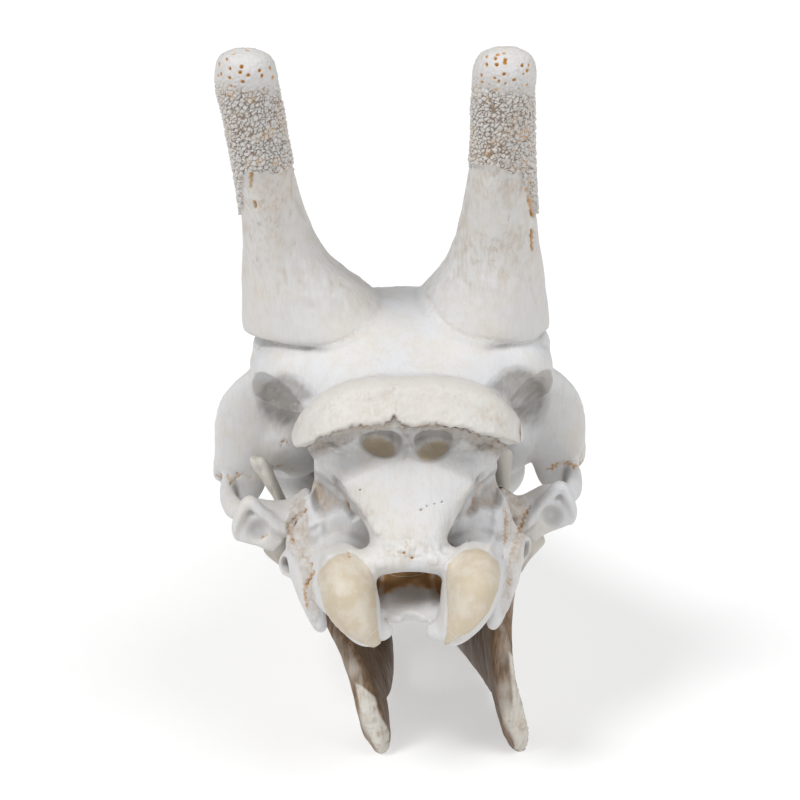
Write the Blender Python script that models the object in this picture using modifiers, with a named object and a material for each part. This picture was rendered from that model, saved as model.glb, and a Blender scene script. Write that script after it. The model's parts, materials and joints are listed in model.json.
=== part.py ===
# Giraffe skull, life size, standing on its lower jaw: a museum specimen with both jaws.
# +Y points to the muzzle, +X to the viewer's right from behind, +Z up, metres.
import math

import bmesh
import bpy
import numpy as np
from mathutils import Euler, Matrix, Vector

# Driving sizes, in centimetres
OSSICONE_TOP = 49.7       # height of the horns above the floor
ORBIT_WIDTH = 25.4        # over the rims of the eye sockets
CREST_WIDTH = 14.2        # nuchal crest at the back of the head
CONDYLE_WIDTH = 12.0      # over both occipital condyles
PALATE_HEIGHT = 11.7      # vault of the hard palate above the floor
TOOTH_FRONT = 39.8        # front of the cheek teeth
CHEEK_TILT = 0.038        # rise of the right cheek, ear and jaw joint for each centimetre outwards
JAW_LEAN = math.radians(13)  # the lower jaw leans to the left under the cranium, at its rear

CM = 0.01
GAP = 0.0003              # between nodes that meet
VOXEL = 0.0026
CRANIUM_TRIANGLES = 7900
JAW_TRIANGLES = 1450

# Colour and roughness of each kind of bone surface
BONE = ((0.86, 0.84, 0.80), 0.55)
IVORY = ((0.86, 0.80, 0.68), 0.35)
RUGOSE = ((0.80, 0.76, 0.68), 0.7)
CREAM = ((0.84, 0.80, 0.72), 0.5)
WARM = ((0.78, 0.71, 0.61), 0.55)


def at(x, y, z):
    return Vector((x, y, z)) * CM


def clear_scene():
    for leftover in list(bpy.data.objects):
        bpy.data.objects.remove(leftover)


def collection(name):
    made = bpy.data.collections.new(name)
    bpy.context.scene.collection.children.link(made)
    return made


def surface(name, look):
    colour, roughness = look
    material = bpy.data.materials.new(name)
    material.use_nodes = True
    shader = material.node_tree.nodes["Principled BSDF"]
    shader.inputs["Base Color"].default_value = (*colour, 1.0)
    shader.inputs["Roughness"].default_value = roughness
    shader.inputs["Metallic"].default_value = 0.0
    return material


def new_object(name, mesh, group):
    made = bpy.data.objects.new(name, mesh)
    group.objects.link(made)
    return made


# Solids that a bone is built up from

def ball(group, center, radii, turn=(0, 0, 0), segments=32, rings=20):
    """An ellipsoid, its sizes in centimetres and its turn in degrees."""
    shape = bmesh.new()
    bmesh.ops.create_uvsphere(shape, u_segments=segments, v_segments=rings, radius=1.0)
    place = (
        Matrix.Translation(at(*center))
        @ Euler([math.radians(a) for a in turn]).to_matrix().to_4x4()
        @ Matrix.Diagonal((*[r * CM for r in radii], 1.0))
    )
    shape.transform(place)
    mesh = bpy.data.meshes.new("ball")
    shape.to_mesh(mesh)
    shape.free()
    return new_object("ball", mesh, group)


def box(group, low, high):
    """A box between two corners, in centimetres."""
    low, high = Vector(low), Vector(high)
    shape = bmesh.new()
    bmesh.ops.create_cube(shape, size=1.0)
    place = Matrix.Translation((low + high) / 2 * CM) @ Matrix.Diagonal((*(high - low) * CM, 1.0))
    shape.transform(place)
    mesh = bpy.data.meshes.new("box")
    shape.to_mesh(mesh)
    shape.free()
    return new_object("box", mesh, group)


def spline(rows, steps):
    """Catmull-Rom through rows of numbers, so that places and sizes change smoothly together."""
    rows = np.array(rows, float)
    padded = np.vstack([2 * rows[0] - rows[1], rows, 2 * rows[-1] - rows[-2]])
    out = []
    for i in range(1, len(padded) - 2):
        before, start, end, after = padded[i - 1], padded[i], padded[i + 1], padded[i + 2]
        for t in np.arange(steps) / steps:
            out.append(0.5 * (2 * start + (end - before) * t
                              + (2 * before - 5 * start + 4 * end - after) * t * t
                              + (3 * start - before - 3 * end + after) * t ** 3))
    out.append(rows[-1])
    return np.array(out)


def skin_rings(group, rings, name="loft"):
    """Closed solid through rings of equally many points, ends filled."""
    shape = bmesh.new()
    made = [[shape.verts.new(p) for p in ring] for ring in rings]
    count = len(made[0])
    for lower, upper in zip(made, made[1:]):
        for i in range(count):
            j = (i + 1) % count
            shape.faces.new((lower[i], lower[j], upper[j], upper[i]))
    shape.faces.new(list(reversed(made[0])))
    shape.faces.new(made[-1])
    bmesh.ops.triangulate(shape, faces=[f for f in shape.faces if len(f.verts) > 4])
    bmesh.ops.recalc_face_normals(shape, faces=shape.faces)
    mesh = bpy.data.meshes.new(name)
    shape.to_mesh(mesh)
    shape.free()
    return new_object(name, mesh, group)


def bar(group, rows, across=(1, 0, 0), steps=5, sides=18, power=2.0):
    """A bone bar along a path. Each row is x, y, z, half width (along across), half thickness."""
    path = spline(rows, steps)
    places = path[:, :3]
    tangents = np.gradient(places, axis=0)
    tangents /= np.linalg.norm(tangents, axis=1)[:, None]
    wide = np.array(across, float) - tangents * (tangents @ np.array(across, float))[:, None]
    wide /= np.linalg.norm(wide, axis=1)[:, None]
    thick = np.cross(tangents, wide)
    angles = np.arange(sides) * 2 * math.pi / sides
    cos, sin = np.cos(angles), np.sin(angles)
    cos = np.sign(cos) * np.abs(cos) ** (2 / power)
    sin = np.sign(sin) * np.abs(sin) ** (2 / power)
    tips = np.ones(len(path))
    tips[[0, -1]] = 0.55
    rings = []
    for place, w, t, half_w, half_t, tip in zip(places, wide, thick, path[:, 3], path[:, 4], tips):
        ring = place + np.outer(cos * half_w * tip, w) + np.outer(sin * half_t * tip, t)
        rings.append(ring * CM)
    return skin_rings(group, rings, "bar")


def stack(group, rows, steps=5, sides=24, power=2.0):
    """A solid of level rings. Each row is x, y, z, half width along X, half depth along Y."""
    path = spline(rows, steps)
    angles = np.arange(sides) * 2 * math.pi / sides
    cos, sin = np.cos(angles), np.sin(angles)
    cos = np.sign(cos) * np.abs(cos) ** (2 / power)
    sin = np.sign(sin) * np.abs(sin) ** (2 / power)
    rings = []
    for x, y, z, wide, deep in path:
        rings.append(np.column_stack([x + cos * wide, y + sin * deep, np.full(sides, z)]) * CM)
    return skin_rings(group, rings, "stack")


def stations(group, rows, steps=4):
    """The main body of the skull, ring by ring along Y. Each row is the ring's y, its bottom and top,
    the half widths at its foot, middle and shoulder, and the heights of these as shares of the whole."""
    rings = []
    for y, bottom, top, foot, middle, shoulder, crown, waist in spline(rows, steps):
        height = top - bottom
        half = [
            (foot * 0.55, bottom),
            (foot, bottom + 0.07 * height),
            ((foot + middle) / 2, bottom + 0.5 * waist * height),
            (middle, bottom + waist * height),
            ((middle + shoulder) / 2, bottom + (0.5 + 0.45 * waist) * height),
            (shoulder, bottom + 0.88 * height),
            (crown, top - 0.02 * height),
        ]
        right = [(x, y, z) for x, z in half]
        left = [(-x, y, z) for x, z in reversed(half)]
        ring = spline(right + left + [right[0]], 2)[:-1]
        rings.append(ring * CM)
    return skin_rings(group, rings, "body")


def plate(group, outline, near, far):
    """An outline in x and z, given thickness from one depth to another."""
    middle = np.mean(outline, axis=0)
    rings = []
    for y, size in ((near, 0.9), (near * 0.7 + far * 0.3, 1), (near * 0.3 + far * 0.7, 1), (far, 0.9)):
        flat = middle + (np.array(outline) - middle) * size
        rings.append(np.column_stack([flat[:, 0], np.full(len(flat), y), flat[:, 1]]) * CM)
    return skin_rings(group, rings, "plate")


def both_sides(group, piece):
    """The piece and its mirror image."""
    twin = piece.data.copy()
    twin.transform(Matrix.Diagonal((-1, 1, 1, 1)))
    twin.flip_normals()
    new_object(piece.name + "_twin", twin, group)


# Joining, cutting and shaping

def evaluated_mesh(target):
    graph = bpy.context.evaluated_depsgraph_get()
    return bpy.data.meshes.new_from_object(target.evaluated_get(graph))


def apply_modifiers(target):
    mesh = evaluated_mesh(target)
    target.modifiers.clear()
    target.data = mesh


def drop_group(group):
    for leftover in list(group.objects):
        bpy.data.objects.remove(leftover)
    bpy.data.collections.remove(group)


def boolean(target, operation, group, solver="MANIFOLD"):
    step = target.modifiers.new(operation.lower(), "BOOLEAN")
    step.operation = operation
    step.operand_type = "COLLECTION"
    step.collection = group
    step.solver = solver
    apply_modifiers(target)
    drop_group(group)


def remesh(target, voxel, smoothing, factor=0.5):
    step = target.modifiers.new("voxels", "REMESH")
    step.mode = "VOXEL"
    step.voxel_size = voxel
    if smoothing:
        ease = target.modifiers.new("ease", "SMOOTH")
        ease.iterations = smoothing
        ease.factor = factor
    apply_modifiers(target)


def joined(name, group, home, voxel=VOXEL, smoothing=6):
    """One bone from the solids of a group: their union, remeshed, with the joins eased."""
    pieces = list(group.objects)
    first = pieces[0]
    group.objects.unlink(first)
    home.objects.link(first)
    first.name = name
    boolean(first, "UNION", group)
    remesh(first, voxel, smoothing)
    return first


def points_of(mesh):
    spots = np.empty(len(mesh.vertices) * 3, np.float32)
    mesh.vertices.foreach_get("co", spots)
    normals = np.empty(len(mesh.vertices) * 3, np.float32)
    mesh.vertices.foreach_get("normal", normals)
    return spots.reshape(-1, 3).astype(float), normals.reshape(-1, 3).astype(float)


def put_points(mesh, spots):
    mesh.vertices.foreach_set("co", spots.astype(np.float32).ravel())
    mesh.update()


def press(target, center, reach, amount, direction=None):
    """Moves the surface near center by amount centimetres along direction, or along its own normal."""
    spots, normals = points_of(target.data)
    away = (spots - np.array(at(*center))) / (np.array(reach) * CM)
    weight = np.clip(1 - (away ** 2).sum(1), 0, 1) ** 2
    way = normals if direction is None else np.array(Vector(direction).normalized())
    put_points(target.data, spots + way * (weight * amount * CM)[:, None])


def thin_to(target, triangles):
    """Fewer faces, kept where the form bends most."""
    now = sum(len(p.vertices) - 2 for p in target.data.polygons)
    step = target.modifiers.new("fewer", "DECIMATE")
    step.ratio = min(1.0, triangles / now)
    apply_modifiers(target)


# Cranium

def mirrored_bar(group, rows, across=(1, 0, 0), steps=5, sides=18, power=2.0):
    both_sides(group, bar(group, rows, across, steps, sides, power))


def mirrored_ball(group, center, radii, turn=(0, 0, 0)):
    both_sides(group, ball(group, center, radii, turn))


def add_brain_case(group):
    # Roof plate from the nuchal crest to the root of the nose
    bar(group, [
        (0, 6.6, 25.6, 5.4, 2.4), (0, 9, 26.4, 7.4, 3.2), (0, 12, 27.6, 9.3, 4.1), (0, 14.5, 28.1, 10.3, 4.2),
        (0, 18, 27.4, 10.3, 4.1), (0, 22, 26.4, 9.6, 4.0), (0, 27, 25.3, 8.0, 3.7), (0, 32, 24.1, 5.6, 2.9),
        (0, 37, 22.4, 3.4, 2.2),
    ], sides=28)
    # Walls of the brain case
    bar(group, [
        (0, 6.4, 20.5, 5.4, 5.4), (0, 9, 21, 6.1, 6.6), (0, 13, 21.4, 6.2, 7.4), (0, 17, 21.6, 6.0, 7.4),
        (0, 21, 21.6, 6.2, 7.6), (0, 26, 21.6, 6.4, 8.0),
    ], sides=28, power=2.6)
    # Body of the occiput, widest over the mastoids
    bar(group, [
        (0, 9.4, 26.2, 5.8, 2.4), (0, 9.2, 24, 6.8, 2.6), (0, 9.5, 21.1, 6.3, 2.6), (0, 9.6, 19, 7.4, 2.5),
        (0, 9.7, 17.3, 8.3, 2.3), (0, 9.5, 15, 7.8, 2.3), (0, 9.2, 13, 6.9, 2.0),
    ], sides=28, power=2.5)
    # Central shield of the occiput, narrowing down to the foramen magnum
    bar(group, [
        (0, 7.4, 25.4, 6.9, 1.9), (0, 7.1, 24.0, 6.9, 1.7), (0, 6.6, 22.6, 6.3, 1.6),
        (0, 6.3, 21.2, 5.0, 1.7),
        (0, 5.9, 19.6, 3.7, 1.7), (0, 5.3, 18.1, 2.7, 1.7), (0, 5.0, 16.8, 2.4, 1.9),
    ], sides=28, power=3.0)
    # Nuchal crest
    end = CREST_WIDTH / 2
    half = [(-end, 5.9, 23.7, 0.8, 0.75), (-0.9 * end, 5.4, 24.8, 1.5, 1.0),
            (-0.68 * end, 5.0, 26.0, 1.9, 1.2),
            (-0.35 * end, 4.9, 26.6, 2.0, 1.3)]
    bar(group, half + [(0, 4.9, 26.7, 2.0, 1.3)] + [(-x, y, z, w, t) for x, y, z, w, t in reversed(half)],
        across=(0, 1, 1))
    bar(group, [(-6.2, 7.2, 25.2, 1.5, 0.9), (-3.5, 6.8, 26.2, 2.4, 1.1), (0, 6.8, 26.6, 2.6, 1.15),
                (3.5, 6.8, 26.2, 2.4, 1.1), (6.2, 7.2, 25.2, 1.5, 0.9)], across=(0, 1, 0.6))
    # Floor of the brain case
    bar(group, [
        (0, 3.6, 12.3, 2.2, 0.5), (0, 6, 12.8, 2.6, 1.0), (0, 10, 13.6, 3.0, 1.8), (0, 15, 14, 2.8, 1.9),
        (0, 20, 14.4, 2.4, 1.6), (0, 26, 14.6, 2.2, 1.5),
    ])
    mirrored_ball(group, (4.2, 9.3, 12.6), (1.5, 2.0, 1.7))
    # Condyles and their necks
    spread = CONDYLE_WIDTH / 12
    both_sides(group, stack(group, [(spread * x, y, z, wide, deep) for x, y, z, wide, deep in [
        (2.6, 2.3, 11.1, 0.45, 0.6), (2.9, 2.4, 11.7, 1.1, 1.5), (3.35, 2.7, 12.6, 1.55, 2.3),
        (3.8, 3.1, 13.6, 1.85, 2.85), (4.05, 3.5, 14.6, 1.95, 3.15), (4.15, 3.8, 15.5, 1.85, 3.1),
        (4.3, 4.2, 16.4, 1.45, 2.5), (4.4, 4.5, 17.1, 0.8, 1.5),
    ]]))
    mirrored_bar(group, [(4.1, 3.5, 14.2, 1.6, 2.2), (4.4, 6, 14.2, 2.1, 2.5), (4.6, 9, 14.6, 2.4, 2.6)])
    mirrored_bar(group, [(3.2, 2.4, 12.6, 1.1, 1.0), (2.1, 2.7, 11.9, 0.7, 0.8), (1.1, 3.2, 11.9, 0.45, 0.5)],
                 across=(0, 1, 0))
    # Arch over the foramen magnum, and its tubercle
    bar(group, [(-3.9, 3.9, 15.6, 1.2, 0.9), (-2.2, 4.2, 16.3, 1.4, 1.0), (0, 4.4, 16.5, 1.5, 1.2),
                (2.2, 4.2, 16.3, 1.4, 1.0), (3.9, 3.9, 15.6, 1.2, 0.9)], across=(0, 1, 0))
    ball(group, (0, 4.1, 17.0), (1.9, 1.1, 0.9))
    # Paroccipital processes and bony ear tubes
    mirrored_bar(group, [
        (7.1, 8.8, 16.4, 1.1, 1.6), (6.8, 8.3, 13.6, 0.95, 1.4), (6.2, 7.6, 11.6, 0.7, 1.1),
        (5.7, 7.1, 10.1, 0.4, 0.6),
    ])
    for side, high in ((-1, 14.4), (1, 15.2)):
        bar(group, [(side * 5.2, 10.8, 14.5, 1.0, 1.0), (side * 7.0, 9.8, high, 0.95, 0.95),
                    (side * 8.4, 8.8, high, 0.95, 0.95)], across=(0, 0, 1))


def add_face(group):
    # Long body of the face, from the orbits to the front of the nasals
    stations(group, [
        (20, 13.4, 28.6, 5.2, 6.0, 6.0, 4.2, 0.45),
        (24, 12.6, 28.7, 5.8, 6.6, 6.3, 4.2, 0.42),
        (28, 12.2, 28.2, 6.2, 6.9, 5.8, 3.8, 0.4),
        (33, 12.0, 26.9, 6.3, 6.4, 4.9, 3.2, 0.4),
        (38, 12.0, 25.0, 5.8, 5.5, 4.1, 2.7, 0.4),
        (42, 12.2, 23.2, 4.7, 4.5, 3.6, 2.5, 0.42),
        (45, 12.3, 21.0, 3.9, 4.0, 3.2, 2.2, 0.45),
        (48, 12.3, 17.6, 3.3, 3.5, 2.9, 2.0, 0.5),
        (51, 12.1, 15.2, 2.9, 3.2, 2.7, 1.9, 0.5),
    ])
    ball(group, (0, 27.0, 25.8), (5.2, 6.8, 3.4))
    # Nasal bones, a notch between their tips
    mirrored_bar(group, [
        (1.6, 33, 25.8, 1.8, 0.9), (1.5, 38, 24.1, 1.8, 0.8), (1.4, 43, 22.3, 1.6, 0.65),
        (1.2, 48, 20.7, 1.25, 0.5), (0.95, 51.2, 19.7, 0.6, 0.35),
    ])
    # Premaxillae
    mirrored_bar(group, [
        (3.2, 43, 16.6, 0.8, 1.5), (2.8, 48, 14.9, 0.9, 1.4),
        (2.5, 53, 13.2, 1.05, 1.1), (2.6, 59, 11.6, 1.4, 0.8), (2.5, 64.4, 10.2, 1.25, 0.5),
    ])
    mirrored_bar(group, [
        (2.9, 44, 13.2, 1.1, 0.8), (2.4, 49, 12.7, 1.0, 0.7), (2.0, 54, 12.2, 1.1, 0.6),
        (2.2, 58.5, 11.5, 1.1, 0.5),
    ])
    mirrored_bar(group, [(0.5, 47, 12.6, 0.5, 0.5), (0.5, 53, 12.1, 0.5, 0.45), (0.55, 59, 11.4, 0.55, 0.4)])
    bar(group, [(0, 58, 11.5, 2.4, 0.5), (0, 60.5, 11.1, 3.0, 0.5), (0, 62.5, 10.8, 2.6, 0.45)])
    # Pterygoid plates
    mirrored_bar(group, [(3.1, 18.5, 13.6, 0.5, 1.2), (3.2, 21, 12.9, 0.5, 1.6), (3.5, 25, 12.8, 0.6, 1.5)])


def add_orbits(group):
    mirrored_ball(group, (7.8, 20.8, 21.8), (4.0, 5.0, 4.7), (0, -8, 0))
    # Rim of the eye socket
    ring = []
    for i in range(13):
        turn = math.radians(30 * i)
        lean = (1.9 if i < 6 else 1.4) * math.sin(turn)
        ring.append((ORBIT_WIDTH / 2 - 1.5 - lean - 0.5 * math.cos(turn),
                     21.3 + 4.0 * math.cos(turn), 21.7 + 3.9 * math.sin(turn), 1.0, 0.75))
    mirrored_bar(group, ring)
    # Postorbital wings
    mirrored_bar(group, [
        (7.7, 15.4, 27.6, 2.9, 1.6), (7.9, 16.3, 25.2, 2.9, 1.1), (9.8, 17.0, 22.6, 3.3, 0.85),
        (10.8, 17.3, 20.2, 2.65, 0.75), (11.2, 17.5, 18.6, 1.9, 0.8),
    ])
    mirrored_bar(group, [
        (7.4, 16.6, 27, 2.4, 1.8), (7.4, 17.4, 24, 3.2, 1.5), (7.6, 17.9, 21.5, 3.4, 1.2),
        (7.7, 18.2, 19.6, 3.0, 0.8),
    ])
    # Floor of the orbit
    mirrored_ball(group, (7.2, 23.6, 16.5), (2.4, 3.7, 2.1))
    # Buttress of the brain case under the roof
    mirrored_ball(group, (7.6, 14.4, 26.2), (3.0, 4.4, 2.6), (0, 20, 0))


def add_arches(group):
    # Roots of the cheek arches, roofing the jaw joints
    mirrored_bar(group, [
        (6.0, 12.2, 17.8, 2.0, 1.2), (8.0, 12.0, 17.2, 1.8, 0.7), (10.0, 11.9, 17.75, 1.8, 0.6),
        (11.2, 12.4, 17.6, 1.4, 0.6),
    ], across=(0, 1, 0))
    # Hoods over the jaw joints: a plate with a raised rim
    both_sides(group, plate(group, [(10.6, 18.9), (11.45, 17.3), (11.3, 16.0), (10.1, 15.6),
                                    (8.9, 15.0), (8.1, 15.6),
                                   (8.4, 16.8)], 10.3, 10.85))
    mirrored_bar(group, [
        (7.6, 10.4, 16.3, 0.6, 0.55), (8.6, 10.3, 16.9, 0.6, 0.45), (9.7, 10.3, 18.1, 0.6, 0.4),
        (10.6, 10.4, 18.85, 0.6, 0.4), (11.2, 10.5, 18.0, 0.6, 0.36), (11.55, 10.7, 16.9, 0.55, 0.32),
        (11.35, 10.9, 16.0, 0.45, 0.3),
    ], across=(0, 1, 0), steps=4)
    mirrored_bar(group, [
        (10.7, 17.3, 20.6, 2.4, 0.7), (11.1, 17.45, 18.9, 1.8, 0.75), (11.35, 17.5, 17.5, 1.5, 0.8),
        (11.5, 17.4, 16.5, 1.0, 0.8),
    ])
    mirrored_bar(group, [
        (10.8, 11.2, 17.7, 0.7, 0.55), (11.8, 13.2, 17.6, 0.6, 0.8), (12.3, 16, 17.5, 0.55, 1.0),
        (12.3, 19, 17.6, 0.6, 1.15), (11.8, 22.5, 17.9, 0.75, 1.4), (10.3, 26.5, 18.0, 0.9, 1.7),
        (8.0, 30.5, 17.5, 0.9, 1.8), (6.0, 34.5, 16.5, 0.6, 1.6), (4.6, 38, 15.8, 0.4, 1.2),
    ])


def ossicone_rows(side):
    """Level rings of the horn on one side: the left one leans out more than the right one."""
    if side < 0:
        edges = [(-11.0, 2.0), (-10.95, -0.8), (-10.9, -2.5), (-10.8, -4.4), (-10.7, -5.6), (-10.7, -6.3),
                 (-10.85, -6.9), (-11.1, -7.35), (-11.4, -7.7), (-11.8, -8.1), (-11.95, -8.25),
                 (-11.75, -8.5),
                 (-11.0, -9.2)]
    else:
        edges = [(10.2, -2.0), (9.9, 0.2), (9.6, 1.5), (9.3, 2.6), (8.95, 3.25), (8.65, 3.6), (8.4, 3.85),
                 (8.2, 4.1), (8.0, 4.1), (7.8, 4.05), (7.8, 4.05), (7.55, 4.3), (6.8, 5.05)]
    top = OSSICONE_TOP
    levels = [(14.4, 29.6, 5.6), (13.6, 31.4, 4.6), (12.9, 33.0, 3.9), (12.0, 34.6, 3.1), (11.1, 36.2, 2.6),
              (10.1, 38.0, 2.3), (9.1, 39.9, 2.1), (8.1, 41.8, 1.95), (6.8, 44.2, 1.85), (5.6, 46.6, 1.85),
              (5.0, top - 1.7, 1.85), (4.8, top - 0.6, 1.5), (4.7, top, 0.75)]
    return [((a + b) / 2, y, z, abs(a - b) / 2, deep) for (a, b), (y, z, deep) in zip(edges, levels)]


def add_upper_teeth(group):
    """Three premolars and three molars a side, each a blunt block with two cusps."""
    lengths = [2.1, 2.3, 2.3, 2.9, 3.1, 2.9]
    front = TOOTH_FRONT
    for number, length in enumerate(lengths):
        middle = front - length / 2
        front -= length
        width = 1.15 + 0.06 * number
        for side in (-1, 1):
            x = side * (4.9 + 0.09 * number)
            bar(group, [
                (x, middle, 13.2, width, length * 0.46), (x, middle, 11.4, width, length * 0.5),
                (x, middle, 9.9, width * 0.9, length * 0.48),
            ], power=3.0, sides=16, steps=2)


def cut_hollows(skull):
    cuts = collection("cranium cutters")
    # Underside of the crest
    half = [(-8.4, 5.6, 21.0, 2.0, 1.8), (-6.6, 4.9, 21.8, 2.1, 2.1), (-5, 4.2, 22.9, 2.0, 2.0),
            (-2.5, 3.9, 23.7, 1.7, 1.75)]
    bar(cuts, half + [(0, 3.8, 23.9, 1.6, 1.7)] + [(-x, y, z, w, t) for x, y, z, w, t in reversed(half)],
        across=(0, 1, 0))
    # Recesses under the temporal lines, opening into the temporal fossae
    mirrored_ball(cuts, (9.0, 10.3, 22.4), (3.1, 5.0, 5.0), (-14, 8, 0))
    mirrored_ball(cuts, (9.8, 11.2, 20.0), (3.4, 5.3, 4.6), (0, 12, 0))
    mirrored_ball(cuts, (9.4, 16.5, 16.4), (1.9, 4.6, 2.5))
    # Eye sockets, narrowing inwards
    mirrored_ball(cuts, (13.2, 21.4, 21.8), (5.8, 3.4, 3.4), (0, 8, 8))
    # Foramen magnum and the start of the brain cavity
    bar(cuts, [
        (0, -1, 12.6, 2.0, 1.7), (0, 2.8, 13.8, 2.0, 1.6), (0, 6.5, 15.3, 1.9, 1.6), (0, 9.5, 16.6, 1.6, 1.4),
    ], power=2.6)
    # Notch between the condyles, below the foramen
    bar(cuts, [(0.1, 0, 11.6, 0.75, 1.0), (0.1, 3.6, 11.9, 0.7, 1.2), (0.1, 4.4, 12.2, 0.4, 0.8)], power=2.4)
    # Ligament pits under the crest
    mirrored_ball(cuts, (1.75, 4.9, 23.8), (1.6, 1.7, 0.85), (20, 0, 0))
    # Nasal aperture
    bar(cuts, [
        (0, 37, 17.4, 1.8, 2.2), (0, 41, 17.4, 2.5, 2.9), (0, 46, 17.0, 2.6, 3.1), (0, 50, 16.2, 2.3, 3.1),
        (0, 56, 15.3, 1.9, 3.0),
    ])
    # Slots of the palate
    mirrored_bar(cuts, [(1.25, 50.5, 12.4, 0.35, 1.2), (1.35, 54, 12.0, 0.45, 1.2),
                        (1.35, 57.4, 11.7, 0.3, 1.2)])
    # Vault of the palate between the tooth rows
    bar(cuts, [(0, y, PALATE_HEIGHT + rise, wide, thick) for y, rise, wide, thick in [
        (21, -0.3, 2.3, 1.2), (27, 0, 3.0, 1.2), (35, -0.1, 3.2, 1.1), (43, -0.2, 2.6, 0.9),
        (49, -0.3, 1.4, 0.7),
    ]], power=2.5)
    # Choanae, opening back under the palate
    bar(cuts, [(0, 14.6, 11.9, 2.0, 1.3), (0, 20, 12.6, 2.3, 1.7), (0, 24, 13.6, 2.0, 1.4),
               (0, 27, 14.2, 1.5, 1.0)])
    boolean(skull, "DIFFERENCE", cuts)


def cut_joints(skull):
    cuts = collection("joint cutters")
    # Backs of the jaw joints
    mirrored_ball(cuts, (10.1, 9.4, 16.7), (1.15, 1.25, 1.35), (0, 20, 0))
    # Ear tubes
    for side, high in ((-1, 14.4), (1, 15.2)):
        bar(cuts, [(side * 7.2, 9.6, high, 0.5, 0.5), (side * 9.0, 8.3, high, 0.7, 0.7)], across=(0, 0, 1))
    boolean(skull, "DIFFERENCE", cuts)


def shape_cranium(skull):
    """Hollows and swellings that are pressed into the joined bone."""
    for side in (-1, 1):
        press(skull, (side * 5.3, 6.6, 20.0), (2.0, 3, 2.4), -1.1)
        press(skull, (side * 4.6, 5.6, 18.2), (1.5, 3, 1.6), -0.5)
        press(skull, (side * 6.0, 41, 21.5), (4, 6, 3), -0.5)
        press(skull, (side * 6.4, 33.5, 20.5), (2.5, 4.5, 2.5), -0.5)
        press(skull, (side * 4.2, 36.5, 23.8), (1.6, 3.5, 1.6), -0.6)


def tilt(skull):
    """The right cheek, ear and jaw joint sit a little higher than the left ones."""
    spots, _ = points_of(skull.data)
    x, y, z = (spots / CM).T
    share = np.clip((np.abs(x) - 8) / 1.5, 0, 1) * np.clip((23 - z) / 4, 0, 1) * np.clip((26 - y) / 8, 0, 1)
    spots[:, 2] += CHEEK_TILT * CM * x * share
    put_points(skull.data, spots)


def make_cranium(home):
    parts = collection("cranium parts")
    add_brain_case(parts)
    add_face(parts)
    add_orbits(parts)
    for side in (-1, 1):
        stack(parts, ossicone_rows(side))
    skull = joined("cranium", parts, home)
    cut_hollows(skull)
    late = collection("arches and teeth")
    add_arches(late)
    add_upper_teeth(late)
    boolean(skull, "UNION", late)
    cut_joints(skull)
    remesh(skull, VOXEL, 2)
    tilt(skull)
    shape_cranium(skull)
    return skull


# Lower jaw

def add_jaw(group, side):
    """Half of the jaw, upright, before it is leaned over."""
    def out(rows):
        return [(side * row[0], *row[1:]) for row in rows]

    stack(group, out([
        (4.9, 12.3, -0.25, 0.7, 2.6), (4.85, 13.0, 1.0, 0.95, 4.2), (4.8, 15.0, 3, 0.95, 6.4),
        (4.85, 15.8, 5.5, 0.75, 7.0),
        (5.2, 15.9, 8, 0.7, 6.6), (5.9, 15.7, 10.5, 0.62, 5.6), (6.7, 15.3, 12.5, 0.6, 4.4),
        (7.2, 15.1, 14, 0.55, 3.3),
        (7.5, 15.6, 15.3, 0.45, 1.9), (7.9, 15.6, 17, 0.45, 1.4), (8.35, 15.3, 19, 0.62, 0.95),
        (8.6, 15.1, 20, 0.7, 0.6), (8.7, 15.0, 20.5, 0.5, 0.35),
    ]), steps=3)
    # Thick rear edge and the pad at the angle
    bar(group, out([(4.9, 10.6, 0.7, 0.95, 1.0), (4.9, 9.5, 3.0, 0.95, 0.9), (5.0, 9.4, 6.0, 0.8, 0.8),
                    (5.6, 10.1, 9.0, 0.7, 0.75), (6.7, 11.4, 12.0, 0.7, 0.7), (7.5, 12.0, 13.8, 0.8, 0.7)]))
    # Joint
    far, high = (9.4, 15.8) if side < 0 else (10.1, 16.1)
    bar(group, out([(7.0, 12.8, 12.2, 0.8, 1.0), (7.9, 12.4, 13.8, 1.1, 0.8),
                    (far - 0.7, 12.2, high - 0.5, 1.4, 0.7)]))
    ball(group, (side * far, 12.0, high), (1.5, 0.85, 0.6), (0, side * -20, 0))
    # Tooth-bearing body, its lower edge nearer to the middle, and the chin
    bar(group, out([
        (4.9, 14.5, 4.6, 0.6, 3.0), (4.75, 18, 4.4, 1.0, 3.7), (4.5, 22, 4.0, 1.3, 3.8),
        (4.1, 27, 3.7, 1.4, 3.9),
        (3.7, 32, 3.6, 1.4, 3.85), (3.3, 37, 3.8, 1.3, 3.4), (2.7, 42, 4.0, 1.05, 2.5),
        (2.1, 46, 4.4, 0.95, 1.9),
        (1.6, 50, 5.1, 1.1, 1.5), (1.35, 54, 6.0, 1.25, 1.2), (1.6, 58, 7.0, 1.55, 0.95),
        (1.75, 60.6, 7.7, 1.7, 0.7),
    ]), across=(1, 0, -0.2 * side))
    lengths = [1.9, 2.2, 2.4, 2.8, 2.9, 3.3]
    front = TOOTH_FRONT
    for number, length in enumerate(lengths):
        middle = front - length / 2
        front -= length
        wide = 0.75 + 0.06 * number
        x = side * (3.6 + 0.15 * number)
        bar(group, [
            (x, middle, 6.2, wide, length * 0.45), (x, middle, 8.0, wide, length * 0.5),
            (x, middle, 9.2, wide * 0.85, length * 0.46),
        ], power=3.0, sides=16, steps=2)
    for number in range(4):
        x = side * (0.45 + 0.84 * number)
        bend = 0.12 * number * number
        bar(group, [
            (x * 0.92, 59.6 - bend, 7.6, 0.3, 0.3), (x, 61.8 - bend, 8.3, 0.38, 0.26),
            (x * 1.04, 63.7 - bend, 9.0, 0.4, 0.12),
        ], sides=12, steps=3)


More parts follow.
